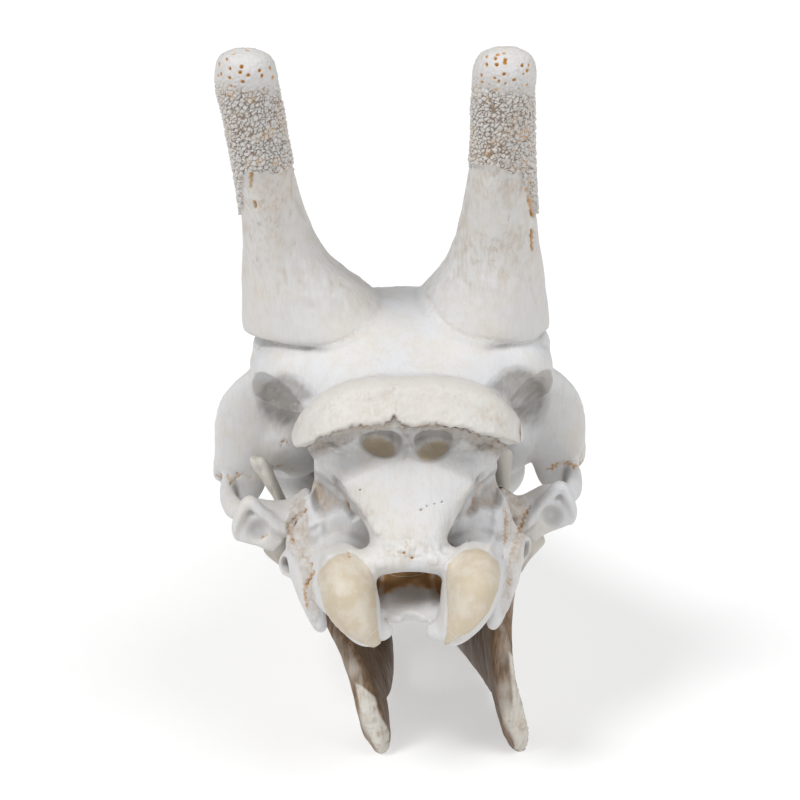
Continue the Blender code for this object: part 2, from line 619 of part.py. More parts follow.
def lean(jaw):
    """The jaw leans over under the cranium, most at its joints and not at all at the front teeth."""
    spots, _ = points_of(jaw.data)
    share = np.clip((50 * CM - spots[:, 1]) / (32 * CM), 0, 1)
    share = share * share * (3 - 2 * share)
    height = spots[:, 2].copy()
    spots[:, 2] += 0.02 * spots[:, 0] * share * np.clip(height / (16 * CM), 0, 1)
    spots[:, 0] += share * (3.2 * CM - math.tan(JAW_LEAN) * height)
    put_points(jaw.data, spots)


def make_jaw(home, name, side):
    parts = collection("jaw parts")
    add_jaw(parts, side)
    jaw = joined(name, parts, home, smoothing=4)
    lean(jaw)
    return jaw


# Nodes: the bones are parted with thin gaps where their sutures run

def region_ossicone(group, side, grow):
    """Over a slanting plane through the base of one horn."""
    corners = []
    for x, y in ((0.02 - grow, 0), (16, 0), (16, 26), (0.02 - grow, 26)):
        low = 31.74 + 0.376 * (6 - x) + 0.51 * (y - 13.5) - 1.2 * grow
        corners.append(((side * x, y, low), (side * x, y, 60)))
    skin_rings(group, [np.array([c[level] for c in corners]) * CM for level in (0, 1)], "prism")


def region_crest(group, side, grow):
    half = [(-8.6, 6.2, 23.0, 1.5, 1.0), (-7.0, 5.3, 24.9, 1.8, 1.4), (-4, 4.9, 26.2, 2.1, 1.8)]
    rows = half + [(0, 4.8, 26.6, 2.15, 1.9)] + [(-x, y, z, w, t) for x, y, z, w, t in reversed(half)]
    bar(group, [(x, y, z, w + grow, t + grow) for x, y, z, w, t in rows], across=(0, 1, 1), steps=2, sides=10)


def region_condyle(group, side, grow):
    ball(group, (side * 4.2, 2.9, 14.4), [r + grow for r in (2.5, 3.4, 3.5)], (0, side * -17, 0), 16, 10)


def region_paroccipital(group, side, grow):
    ball(group, (side * 6.0, 7.3, 10.6), [r + grow for r in (1.8, 2.0, 2.2)], (0, 0, 0), 12, 8)


def region_occipital(group, side, grow):
    box(group, (-12, -4, 6), (12, 7.4 + grow, 32))


def region_zygomatic(group, side, grow):
    low, high = sorted((side * (9.0 - grow), side * 18))
    box(group, (low, 6, 12), (high, 40, 19.2 + grow))


def region_frontal(group, side, grow):
    box(group, (-16, 7.0, 24.2 - grow), (16, 33.6 + grow, 45))
    for way in (-1, 1):
        low, high = sorted((way * (6.6 - grow), way * 18))
        box(group, (low, 14.6 - grow, 16), (high, 27.4 + grow, 45))


def region_nasal(group, side, grow):
    bar(group, [(0, y, z, w + grow, t + grow) for y, z, w, t in [
        (34.0, 25.6, 2.9, 1.3), (38, 24.1, 3.1, 1.2), (43, 22.3, 2.9, 1.1), (48, 20.7, 2.6, 1.0),
        (52.5, 19.4, 2.0, 0.9),
    ]], power=3.0, steps=1, sides=12)


def region_premaxilla(group, side, grow):
    low, high = sorted((side * (0.015 - grow), side * 12))
    box(group, (low, 47.0 - grow, 4), (high, 80, 18.9))


def region_maxilla(group, side, grow):
    box(group, (-16, 23.6 - grow, 4), (16, 60, 40))


def split(whole, name, region, side=0):
    """Takes the bone inside a region off the whole, with a gap between the two."""
    taken = new_object(name, whole.data.copy(), whole.users_collection[0])
    inside = collection("inside")
    region(inside, side, 0.0)
    boolean(taken, "INTERSECT", united(inside))
    outside = collection("outside")
    region(outside, side, GAP / CM)
    boolean(whole, "DIFFERENCE", outside)
    return taken


def united(group):
    """The group with its solids joined into one, as an intersection needs."""
    pieces = list(group.objects)
    if len(pieces) > 1:
        rest = collection("rest")
        for piece in pieces[1:]:
            group.objects.unlink(piece)
            rest.objects.link(piece)
        boolean(pieces[0], "UNION", rest)
    return group


def keep_largest(target):
    """Only the largest closed surface of a node stays."""
    shape = bmesh.new()
    shape.from_mesh(target.data)
    bmesh.ops.remove_doubles(shape, verts=shape.verts, dist=0.00001)
    left = set(shape.faces)
    islands = []
    while left:
        start = left.pop()
        island = [start]
        front = [start]
        while front:
            face = front.pop()
            for edge in face.edges:
                for near in edge.link_faces:
                    if near in left:
                        left.discard(near)
                        island.append(near)
                        front.append(near)
        islands.append((sum(f.calc_area() for f in island), island))
    islands.sort(key=lambda pair: pair[0])
    for _, island in islands[:-1]:
        bmesh.ops.delete(shape, geom=island, context="FACES")
    loose = [v for v in shape.verts if not v.link_faces]
    bmesh.ops.delete(shape, geom=loose, context="VERTS")
    bmesh.ops.triangulate(shape, faces=shape.faces)
    shape.to_mesh(target.data)
    shape.free()


def build():
    clear_scene()
    home = collection("giraffe_skull")
    whole = make_cranium(home)
    thin_to(whole, CRANIUM_TRIANGLES)
    nodes = [
        (split(whole, "ossicone_left", region_ossicone, -1), RUGOSE),
        (split(whole, "ossicone_right", region_ossicone, 1), RUGOSE),
        (split(whole, "nuchal_crest", region_crest), CREAM),
        (split(whole, "condyle_left", region_condyle, -1), IVORY),
        (split(whole, "condyle_right", region_condyle, 1), IVORY),
        (split(whole, "paroccipital_process_left", region_paroccipital, -1), BONE),
        (split(whole, "paroccipital_process_right", region_paroccipital, 1), BONE),
        (split(whole, "occipital", region_occipital), BONE),
        (split(whole, "zygomatic_arch_left", region_zygomatic, -1), BONE),
        (split(whole, "zygomatic_arch_right", region_zygomatic, 1), BONE),
        (split(whole, "nasals", region_nasal), BONE),
        (split(whole, "premaxilla_left", region_premaxilla, -1), BONE),
        (split(whole, "premaxilla_right", region_premaxilla, 1), BONE),
        (split(whole, "frontal", region_frontal), BONE),
        (split(whole, "maxilla", region_maxilla), BONE),
        (whole, WARM),
    ]
    whole.name = "brain_case"
    for name, side in (("mandible_left", -1), ("mandible_right", 1)):
        jaw = make_jaw(home, name, side)
        thin_to(jaw, JAW_TRIANGLES)
        cuts = collection("floor and chin cutters")
        box(cuts, (-20, 0, -3), (20, 70, 0))
        low, high = sorted((side * 0.015, side * -10))
        box(cuts, (low, 40, 0.5), (high, 70, 12))
        boolean(jaw, "DIFFERENCE", cuts)
        nodes.append((jaw, WARM))
    for node, look in nodes:
        keep_largest(node)
        node.data.materials.clear()
        node.data.materials.append(surface(node.name, look))
        node.data.name = node.name
        for face in node.data.polygons:
            face.use_smooth = True
    center_on_floor([node for node, _ in nodes])


def center_on_floor(nodes):
    """Puts the middle of the whole skull's outline over the origin, its jaw on the floor."""
    spots = np.vstack([points_of(node.data)[0] for node in nodes])
    low, high = spots.min(axis=0), spots.max(axis=0)
    shift = Matrix.Translation((-(low[0] + high[0]) / 2, -(low[1] + high[1]) / 2, -low[2]))
    for node in nodes:
        node.data.transform(shift)


build()
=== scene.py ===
import json
import math
import time

import bmesh
import bpy
import numpy as np
from mathutils import Euler, Matrix, Vector

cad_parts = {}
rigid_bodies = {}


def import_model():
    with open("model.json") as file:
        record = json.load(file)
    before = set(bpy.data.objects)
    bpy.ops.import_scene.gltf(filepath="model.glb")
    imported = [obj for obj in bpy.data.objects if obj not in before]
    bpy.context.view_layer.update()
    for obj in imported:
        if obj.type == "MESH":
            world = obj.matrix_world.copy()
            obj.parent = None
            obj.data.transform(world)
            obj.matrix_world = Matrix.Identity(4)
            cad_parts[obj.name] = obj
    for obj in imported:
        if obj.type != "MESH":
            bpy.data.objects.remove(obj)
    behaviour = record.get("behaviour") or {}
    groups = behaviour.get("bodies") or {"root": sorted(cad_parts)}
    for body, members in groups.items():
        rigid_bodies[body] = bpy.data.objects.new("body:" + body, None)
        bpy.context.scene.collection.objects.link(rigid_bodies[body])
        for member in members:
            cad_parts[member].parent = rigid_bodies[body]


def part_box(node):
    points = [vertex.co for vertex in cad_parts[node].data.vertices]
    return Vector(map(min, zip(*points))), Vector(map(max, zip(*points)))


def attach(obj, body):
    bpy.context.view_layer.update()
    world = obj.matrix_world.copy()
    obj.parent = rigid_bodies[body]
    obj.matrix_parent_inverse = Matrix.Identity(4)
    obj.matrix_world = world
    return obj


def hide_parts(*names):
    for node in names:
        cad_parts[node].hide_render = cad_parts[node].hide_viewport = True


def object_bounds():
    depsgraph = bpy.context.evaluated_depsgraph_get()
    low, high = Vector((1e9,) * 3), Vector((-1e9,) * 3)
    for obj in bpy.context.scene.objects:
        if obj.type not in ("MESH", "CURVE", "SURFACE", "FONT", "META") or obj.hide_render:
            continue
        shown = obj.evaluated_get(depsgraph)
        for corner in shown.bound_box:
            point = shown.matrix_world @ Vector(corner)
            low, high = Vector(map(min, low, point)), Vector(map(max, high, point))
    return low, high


started = time.time()
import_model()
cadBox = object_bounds()
cm, mm = 0.01, 0.001
seam = 0.015         # half the gap between two bones, cm
maxillaStart = 23.6  # cm from the back of the head
maxillaLow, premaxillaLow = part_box("maxilla")[0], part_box("premaxilla_right")[0]
toFrame = Vector((premaxillaLow[0] - seam * cm, maxillaLow[1] - maxillaStart * cm, 0.0))


def report(stage):
    print(f"{time.time() - started:6.1f} s  {stage}")


# Studio

studio = {
    "target": (-0.6, 4.0, 27.2),  # what the camera looks at
    "turn": 2.4,                  # degrees round the skull from straight behind
    "lift": 15.0,                 # degrees above level
    "distance": 130.0,
    "focal": 2030.0,              # picture points
    "wide": 800,                  # the whole picture, in points
    "sensor": 36,                 # mm
    "farthest": 50,               # metres
    "floorSize": 30,
    "floorColour": 0.5,
    "floorGlow": 0.5,
    "skyLow": (0.17, 0.25, 1.0, 0.03),  # heights that its brightness changes between, before and after
    "skyHigh": (0.3, 1.0, 0.0, 0.34),
    "lamps": {
        "keyLeft": (48, 51, 18, 2.0),   # degrees round and up, spread, strength
        "topRight": (-50, 55, 35, 1.1),
        "front": (-25, 20, 60, 0.36),
    },
}


def heading(turn, lift):  # the way light or sight runs from degrees round and up
    turn, lift = math.radians(turn), math.radians(lift)
    return Vector((math.sin(turn) * math.cos(lift), math.cos(turn) * math.cos(lift), -math.sin(lift)))


def aim():
    turn = math.radians(studio["turn"])
    way, side = heading(studio["turn"], studio["lift"]), Vector((math.cos(turn), -math.sin(turn), 0))
    return way, side, side.cross(way)


def picture(spots):  # where points in working centimetres fall in the picture
    way, side, up = (np.array(v) for v in aim())
    away = spots - np.array(studio["target"])
    scale = studio["focal"] / (studio["distance"] + away @ way)
    middle = studio["wide"] / 2
    return middle + scale * (away @ side), middle - scale * (away @ up)


def mounted(name, data, way):  # a lamp or a camera that looks along way
    made = bpy.data.objects.new(name, data)
    made.rotation_euler = way.to_track_quat("-Z", "Y").to_euler()
    bpy.context.scene.collection.objects.link(made)
    return made


def makeStudio():
    way = aim()[0]
    camera = mounted("camera", bpy.data.cameras.new("camera"), way)
    camera.data.lens = studio["sensor"] * studio["focal"] / studio["wide"]
    camera.data.sensor_width = studio["sensor"]
    camera.data.clip_end = studio["farthest"]
    camera.location = Vector(studio["target"]) * cm + toFrame - way * studio["distance"] * cm
    bpy.context.scene.camera = camera
    for name, (turn, lift, spread, strength) in studio["lamps"].items():
        lamp = mounted(name, bpy.data.lights.new(name, "SUN"), heading(turn, lift))
        lamp.data.energy = strength
        lamp.data.angle = math.radians(spread)
    world = bpy.data.worlds.new("studio")
    world.use_nodes = True
    tree = Tree(world)
    upward = tree.part(tree.node("ShaderNodeTexCoord", {}, {}, "Generated"), 2)
    glow = tree.smooth(upward, *studio["skyLow"]) + tree.smooth(upward, *studio["skyHigh"])
    tree.feed(world.node_tree.nodes["Background"].inputs, {"Color": (1, 1, 1), "Strength": glow})
    bpy.context.scene.world = world
    bpy.context.scene.view_settings.view_transform = "Standard"
    bpy.ops.mesh.primitive_plane_add(size=studio["floorSize"])
    floor = bpy.context.object
    floor.name = "floor"
    tree = Tree(newMaterial("floorPaper"))
    tree.surface({"Base Color": (studio["floorColour"],) * 3, "Roughness": 0.9,
                  "Emission Color": (1.0, 1.0, 1.0), "Emission Strength": studio["floorGlow"]})
    floor.data.materials.append(tree.owner)


# Node trees

class Wire:  # a socket in a node tree, which sums can be done with
    def __init__(self, tree, socket):
        self.tree, self.socket = tree, socket

    def math(self, operation, first, second):
        return self.tree.node("ShaderNodeMath", {"operation": operation}, {0: first, 1: second})

    def __add__(self, other):
        return self.math("ADD", self, other)

    def __sub__(self, other):
        return self.math("SUBTRACT", self, other)

    def __mul__(self, other):
        return self.math("MULTIPLY", self, other)

    def __radd__(self, other):
        return self.math("ADD", other, self)

    def __rsub__(self, other):
        return self.math("SUBTRACT", other, self)

    def __rmul__(self, other):
        return self.math("MULTIPLY", other, self)


class Tree:  # the nodes of a material, a world or a group
    def __init__(self, owner):
        self.owner = owner
        self.tree = owner.node_tree if hasattr(owner, "node_tree") else owner

    def feed(self, sockets, inputs):
        for name, value in inputs.items():
            if isinstance(value, Wire):
                self.tree.links.new(value.socket, sockets[name])
            elif isinstance(value, tuple) and len(sockets[name].default_value) == 4:
                sockets[name].default_value = (*value, 1)
            else:
                sockets[name].default_value = value

    def node(self, kind, settings={}, inputs={}, output=0):
        made = self.tree.nodes.new(kind)
        for name, value in settings.items():
            setattr(made, name, value)
        self.feed(made.inputs, inputs)
        return Wire(self, made.outputs[output]) if made.outputs else made

    def smooth(self, value, low, high, start=0.0, end=1.0):
        return self.node("ShaderNodeMapRange", {"interpolation_type": "SMOOTHSTEP"},
                         {"Value": value, "From Min": low, "From Max": high, "To Min": start, "To Max": end})

    def vector(self, operation, first, second):
        return self.node("ShaderNodeVectorMath", {"operation": operation}, {0: first, 1: second})

    def joint(self, *parts):
        return self.node("ShaderNodeCombineXYZ", {}, dict(enumerate(parts)))

    def part(self, vector, axis):
        return self.node("ShaderNodeSeparateXYZ", {}, {0: vector}, axis)

    def noise(self, vector, scale, detail, roughness=0.55):
        return self.node("ShaderNodeTexNoise", {}, {"Vector": vector, "Scale": scale, "Detail": detail,
                                                    "Roughness": roughness})

    def cells(self, vector, scale, feature="F1", randomness=1.0):
        return self.node("ShaderNodeTexVoronoi", {"feature": feature},
                         {"Vector": vector, "Scale": scale, "Randomness": randomness})

    def blend(self, factor, first, second):
        return self.node("ShaderNodeMix", {"data_type": "RGBA"}, {0: factor, 6: first, 7: second}, 2)

    def surface(self, inputs):
        self.feed(self.tree.nodes["Principled BSDF"].inputs, inputs)


def newMaterial(name):
    material = bpy.data.materials.new(name)
    material.use_nodes = True
    return material


# Finishes

boneLook = {
    "white": (0.60, 0.615, 0.645),
    "cream": (0.61, 0.575, 0.52),
    "warm": (0.40, 0.325, 0.255),
    "deep": (0.27, 0.14, 0.055),
    "ochre": (0.47, 0.265, 0.095),
    "amber": (0.66, 0.36, 0.09),
    "ivory": (0.50, 0.42, 0.30),
    "crevice": (0.19, 0.125, 0.08),
    "shade_grey": (0.27, 0.255, 0.24),
    "brown": (0.215, 0.135, 0.08),
    "umber": (0.11, 0.065, 0.035),
    # grey of the painted shade in hollows, recesses and under overhangs
    "enamel": (0.66, 0.58, 0.44),
    "tartar": (0.42, 0.31, 0.20),
}
hornLook = {**boneLook, "white": (0.59, 0.595, 0.605), "cream": (0.60, 0.56, 0.51)}
crestLook = {**boneLook, "white": (0.57, 0.565, 0.555), "cream": (0.57, 0.545, 0.50)}
jawLook = {**boneLook, "white": (0.585, 0.57, 0.53), "cream": (0.58, 0.53, 0.455)}


def boneFinish(name, creaminess, roughness, look):
    tree = Tree(newMaterial(name))
    place = tree.node("ShaderNodeTexCoord", {}, {}, "Object")
    rough, stain, warm, ivory, hollow, crevice, pit, brown, enamel = (
        tree.node("ShaderNodeAttribute", {"attribute_name": mask}, {}, "Fac")
        for mask in ("rough", "stain", "warm", "ivory", "hollow", "crevice", "pit", "brown", "enamel"))
    clouds, mottle, uneven, fine = (
        tree.noise(place, scale, detail, 0.6) for scale, detail in ((22, 4), (110, 3), (330, 3), (900, 3)))
    streaks = tree.noise(tree.vector("MULTIPLY", place, (1, 1, 0.15)), 520, 3)
    pores = tree.smooth(tree.cells(place, 420), 0.20, 0.10) * tree.smooth(mottle, 0.46, 0.60)
    speck = pores * tree.smooth(rough, 0.1, 0.8)
    warmTintAndShade = tree.smooth(warm + (mottle - 0.5) * 0.5 * warm, 0.0, 1.0)
    ivoryShare = tree.smooth(ivory, 0.3, 0.6)
    colour = tree.blend(tree.smooth(clouds + mottle * 0.4, 0.55, 0.95) * 0.6 + creaminess * 0.8,
                        look["white"], look["cream"])

    def mixed(share, first, second):
        return tree.blend(share, look[first], look[second])

    for share, over in (
        (tree.smooth(streaks * 0.7 + mottle * 0.5, 0.52, 0.78) * (0.12 + 0.42 * rough), look["warm"]),
        # warm beige: a tint, and painted shade in fossae, hollows and under the crest
        (warmTintAndShade * 0.9, look["warm"]),
        (ivoryShare * 0.92,
         mixed(tree.smooth(mottle * 0.5 + clouds * 0.5, 0.44, 0.62) * 0.55, "ivory", "cream")),
        # painted shade: grey laid into hollows and under overhangs, less where warm tint and shade are
        # already painted
        (tree.smooth(hollow, 0.1, 1.0) * (0.7 - warmTintAndShade * 0.6), look["shade_grey"]),
        # the jaw's brown and umber, with painted shade
        (tree.smooth(brown + (mottle - 0.5) * 0.4 * brown, 0.05, 0.85),
         mixed(tree.smooth(streaks, 0.36, 0.66), "brown", "umber")),
        (tree.smooth(enamel, 0.3, 0.7),
         mixed(tree.smooth(clouds * 0.5 + streaks * 0.5, 0.46, 0.76), "enamel", "tartar")),
        (speck * 0.8, look["ochre"]),
        # crevices painted dark brown and ochre: painted shade with some stain
        (tree.smooth(crevice, 0.15, 0.9) * 0.85, mixed(tree.smooth(mottle, 0.5, 0.66), "crevice", "ochre")),
        (tree.smooth(pit, 0.08, 0.4) * 0.92, look["amber"]),
        (tree.smooth(stain * (0.6 + mottle * 0.8), 0.15, 0.9) * 0.92, look["ochre"]),
        # darkest brown where stain and painted shade are strongest, as in the foramen roof, sutures, holes
        # and slits
        (tree.smooth(stain, 0.8, 1.2) * 0.75, look["deep"]),
    ):
        colour = tree.blend(share, colour, over)
    height = fine * 0.3 + streaks * 0.35 + uneven * 0.5 + mottle * 0.6 * (0.25 + rough) - speck * 0.9
    bump = tree.node("ShaderNodeBump", {}, {"Strength": 0.55, "Distance": 0.0008, "Height": height}, "Normal")
    shine = roughness + (mottle - 0.5) * 0.15 - ivoryShare * 0.03 + stain * 0.1 - enamel * 0.25
    tree.surface({"Base Color": colour, "Roughness": shine, "Normal": bump, "Specular IOR Level": 0.4})
    return tree.owner


# Solids that the bones are built up from

def collection(name):
    made = bpy.data.collections.new(name)
    bpy.context.scene.collection.children.link(made)
    return made


def newObject(name, mesh, group):
    made = bpy.data.objects.new(name, mesh)
    group.objects.link(made)
    return made


def solidFrom(shape, name, group):
    mesh = bpy.data.meshes.new(name)
    shape.to_mesh(mesh)
    shape.free()
    return newObject(name, mesh, group)


def ball(group, center, radii, turn=(0, 0, 0), segments=40, rings=26):  # centimetres, degrees
    shape = bmesh.new()
    bmesh.ops.create_uvsphere(shape, u_segments=segments, v_segments=rings, radius=1.0)
    turned = Euler([math.radians(a) for a in turn]).to_matrix().to_4x4()
    shape.transform(Matrix.Translation(Vector(center) * cm) @ turned
                    @ Matrix.Diagonal((*[r * cm for r in radii], 1.0)))
    return solidFrom(shape, "ball", group)


def box(group, *corners):  # between any two opposite corners
    low, high = (Vector([end(axis) for axis in zip(*corners)]) for end in (min, max))
    shape = bmesh.new()
    bmesh.ops.create_cube(shape, size=1.0)
    shape.transform(Matrix.Translation((low + high) / 2 * cm) @ Matrix.Diagonal((*(high - low) * cm, 1.0)))
    return solidFrom(shape, "box", group)


def spline(rows, steps):  # Catmull-Rom, so that places and sizes change smoothly together
    rows = np.array(rows, float)
    padded = np.vstack([2 * rows[0] - rows[1], rows, 2 * rows[-1] - rows[-2]])
    out = []
    for before, start, end, after in zip(padded, padded[1:], padded[2:], padded[3:]):
        for t in np.arange(steps) / steps:
            out.append(0.5 * (2 * start + (end - before) * t
                              + (2 * before - 5 * start + 4 * end - after) * t * t
                              + (3 * start - before - 3 * end + after) * t ** 3))
    out.append(rows[-1])
    return np.array(out)


def skinRings(group, rings, name):
    shape = bmesh.new()
    made = [[shape.verts.new(p) for p in ring] for ring in rings]
    count = len(made[0])
    for lower, upper in zip(made, made[1:]):
        for i in range(count):
            j = (i + 1) % count
            shape.faces.new((lower[i], lower[j], upper[j], upper[i]))
    shape.faces.new(list(reversed(made[0])))
    shape.faces.new(made[-1])
    bmesh.ops.triangulate(shape, faces=[f for f in shape.faces if len(f.verts) > 4])
    bmesh.ops.recalc_face_normals(shape, faces=shape.faces)
    return solidFrom(shape, name, group)


def oval(sides, power=2.0):  # round, or squarer with a higher power
    angles = np.arange(sides) * 2 * math.pi / sides
    return [np.sign(wave) * np.abs(wave) ** (2 / power) for wave in (np.cos(angles), np.sin(angles))]


def bar(group, rows, across=(1, 0, 0), steps=6, sides=24, power=2.0):
    # Each row is x, y, z, half width (along across), half thickness
    path = spline(rows, steps)
    places = path[:, :3]
    tangents = np.gradient(places, axis=0)
    tangents /= np.linalg.norm(tangents, axis=1)[:, None]
    wide = np.array(across, float) - tangents * (tangents @ np.array(across, float))[:, None]
    wide /= np.linalg.norm(wide, axis=1)[:, None]
    thick = np.cross(tangents, wide)
    cos, sin = oval(sides, power)
    tips = np.ones(len(path))
    tips[[0, -1]] = 0.55
    rings = []
    for place, w, t, halfWide, halfThick, tip in zip(places, wide, thick, path[:, 3], path[:, 4], tips):
        ring = place + np.outer(cos * halfWide * tip, w) + np.outer(sin * halfThick * tip, t)
        rings.append(ring * cm)
    return skinRings(group, rings, "bar")


def stack(group, rows, steps=6, sides=40):
    # Level rings. Each row is x, y, z, half width along X, half depth along Y
    cos, sin = oval(sides)
    return skinRings(group, [np.column_stack([x + cos * wide, y + sin * deep, np.full(sides, z)]) * cm
                             for x, y, z, wide, deep in spline(rows, steps)], "stack")


def stations(group, rows):
    # Rings along Y: y, bottom, top, half widths at foot, waist and shoulder, crown width, waist height share
    rings = []
    for y, bottom, top, foot, middle, shoulder, crown, waist in spline(rows, 6):
        height = top - bottom
        half = [
            (foot * 0.55, bottom),
            (foot, bottom + 0.07 * height),
            ((foot + middle) / 2, bottom + 0.5 * waist * height),
            (middle, bottom + waist * height),
            ((middle + shoulder) / 2, bottom + (0.5 + 0.45 * waist) * height),
            (shoulder, bottom + 0.88 * height),
            (crown, top - 0.02 * height),
        ]
        right = [(x, y, z) for x, z in half]
        left = [(-x, y, z) for x, z in reversed(half)]
        rings.append(spline(right + left + [right[0]], 4)[:-1] * cm)
    return skinRings(group, rings, "body")


def plate(group, outline, near, far):  # an outline in x and z, given thickness from one depth to another
    middle = np.mean(outline, axis=0)
    rings = []
    for y, size in ((near, 0.9), (near * 0.7 + far * 0.3, 1), (near * 0.3 + far * 0.7, 1), (far, 0.9)):
        flat = middle + (np.array(outline) - middle) * size
        rings.append(np.column_stack([flat[:, 0], np.full(len(flat), y), flat[:, 1]]) * cm)
    return skinRings(group, rings, "plate")


def acrossMiddle(half, middle):  # rows of the left side, the middle one and their mirror images
    return half + [middle] + [(-x, *rest) for x, *rest in reversed(half)]


def bothSides(group, piece):
    twin = piece.data.copy()
    twin.transform(Matrix.Diagonal((-1, 1, 1, 1)))
    twin.flip_normals()
    newObject(piece.name + "_twin", twin, group)


def mirroredBar(group, rows, **options):
    bothSides(group, bar(group, rows, **options))


def mirroredBall(group, *place):
    bothSides(group, ball(group, *place))


# Joining, cutting and shaping

def applyModifiers(target):
    graph = bpy.context.evaluated_depsgraph_get()
    mesh = bpy.data.meshes.new_from_object(target.evaluated_get(graph))
    target.modifiers.clear()
    target.data = mesh


def boolean(target, operation, group):
    step = target.modifiers.new(operation.lower(), "BOOLEAN")
    step.operation = operation
    step.operand_type = "COLLECTION"
    step.collection = group
    step.solver = "MANIFOLD"
    applyModifiers(target)
    for leftover in list(group.objects):
        bpy.data.objects.remove(leftover)
    bpy.data.collections.remove(group)


def ease(target, steps, factor=0.5):
    step = target.modifiers.new("ease", "SMOOTH")
    step.iterations = steps
    step.factor = factor
    applyModifiers(target)


def remesh(target, voxel, smoothing):
    step = target.modifiers.new("voxels", "REMESH")
    step.mode = "VOXEL"
    step.voxel_size = voxel * cm
    applyModifiers(target)
    ease(target, smoothing)


def joined(name, group, home):
    first = group.objects[0]
    group.objects.unlink(first)
    home.objects.link(first)
    first.name = name
    boolean(first, "UNION", group)
    return first


def united(group):  # an intersection needs its cutter as one solid
    pieces = list(group.objects)
    if len(pieces) > 1:
        rest = collection("rest")
        for piece in pieces[1:]:
            group.objects.unlink(piece)
            rest.objects.link(piece)
        boolean(pieces[0], "UNION", rest)
    return group


def pointsOf(mesh):
    found = []
    for name in ("co", "normal"):
        values = np.empty(len(mesh.vertices) * 3, np.float32)
        mesh.vertices.foreach_get(name, values)
        found.append(values.reshape(-1, 3).astype(float))
    return found


def putPoints(mesh, spots):
    mesh.vertices.foreach_set("co", spots.astype(np.float32).ravel())
    mesh.update()


def unit(values):  # kept from 0 to 1
    return np.clip(values, 0, 1)


def eased(share):  # without a corner at 0 or 1
    return share * share * (3 - 2 * share)


def bell(away, width):
    return np.exp(-(away / width) ** 2)


def wander(spots, size, seed=0):  # smooth random numbers from -1 to 1 through space, size in cm
    grid = spots / size + seed * 7.31
    low = np.floor(grid).astype(np.int64)
    part = eased(grid - low)
    total = np.zeros(len(spots))
    for corner in range(8):
        step = np.array([corner & 1, corner >> 1 & 1, corner >> 2 & 1])
        spot = low + step
        mixed = spot[:, 0] * 73856093 ^ spot[:, 1] * 19349663 ^ spot[:, 2] * 83492791
        mixed = (mixed ^ (mixed >> 13)) * 1274126177 & 0x7FFFFFFF
        share = np.prod(np.where(step, part, 1 - part), axis=1)
        total += share * ((mixed >> 8 & 0xFFFF) / 32767.5 - 1)
    return total


masks = ("rough", "stain", "warm", "brown", "ivory", "enamel", "hollow", "knob", "pitted", "crevice")
anywhere = (-9, 99)  # every depth
margin = 14          # how far beyond a drawn line its distance is measured, in drawing units
farOff = 99.0        # the distance of everything else


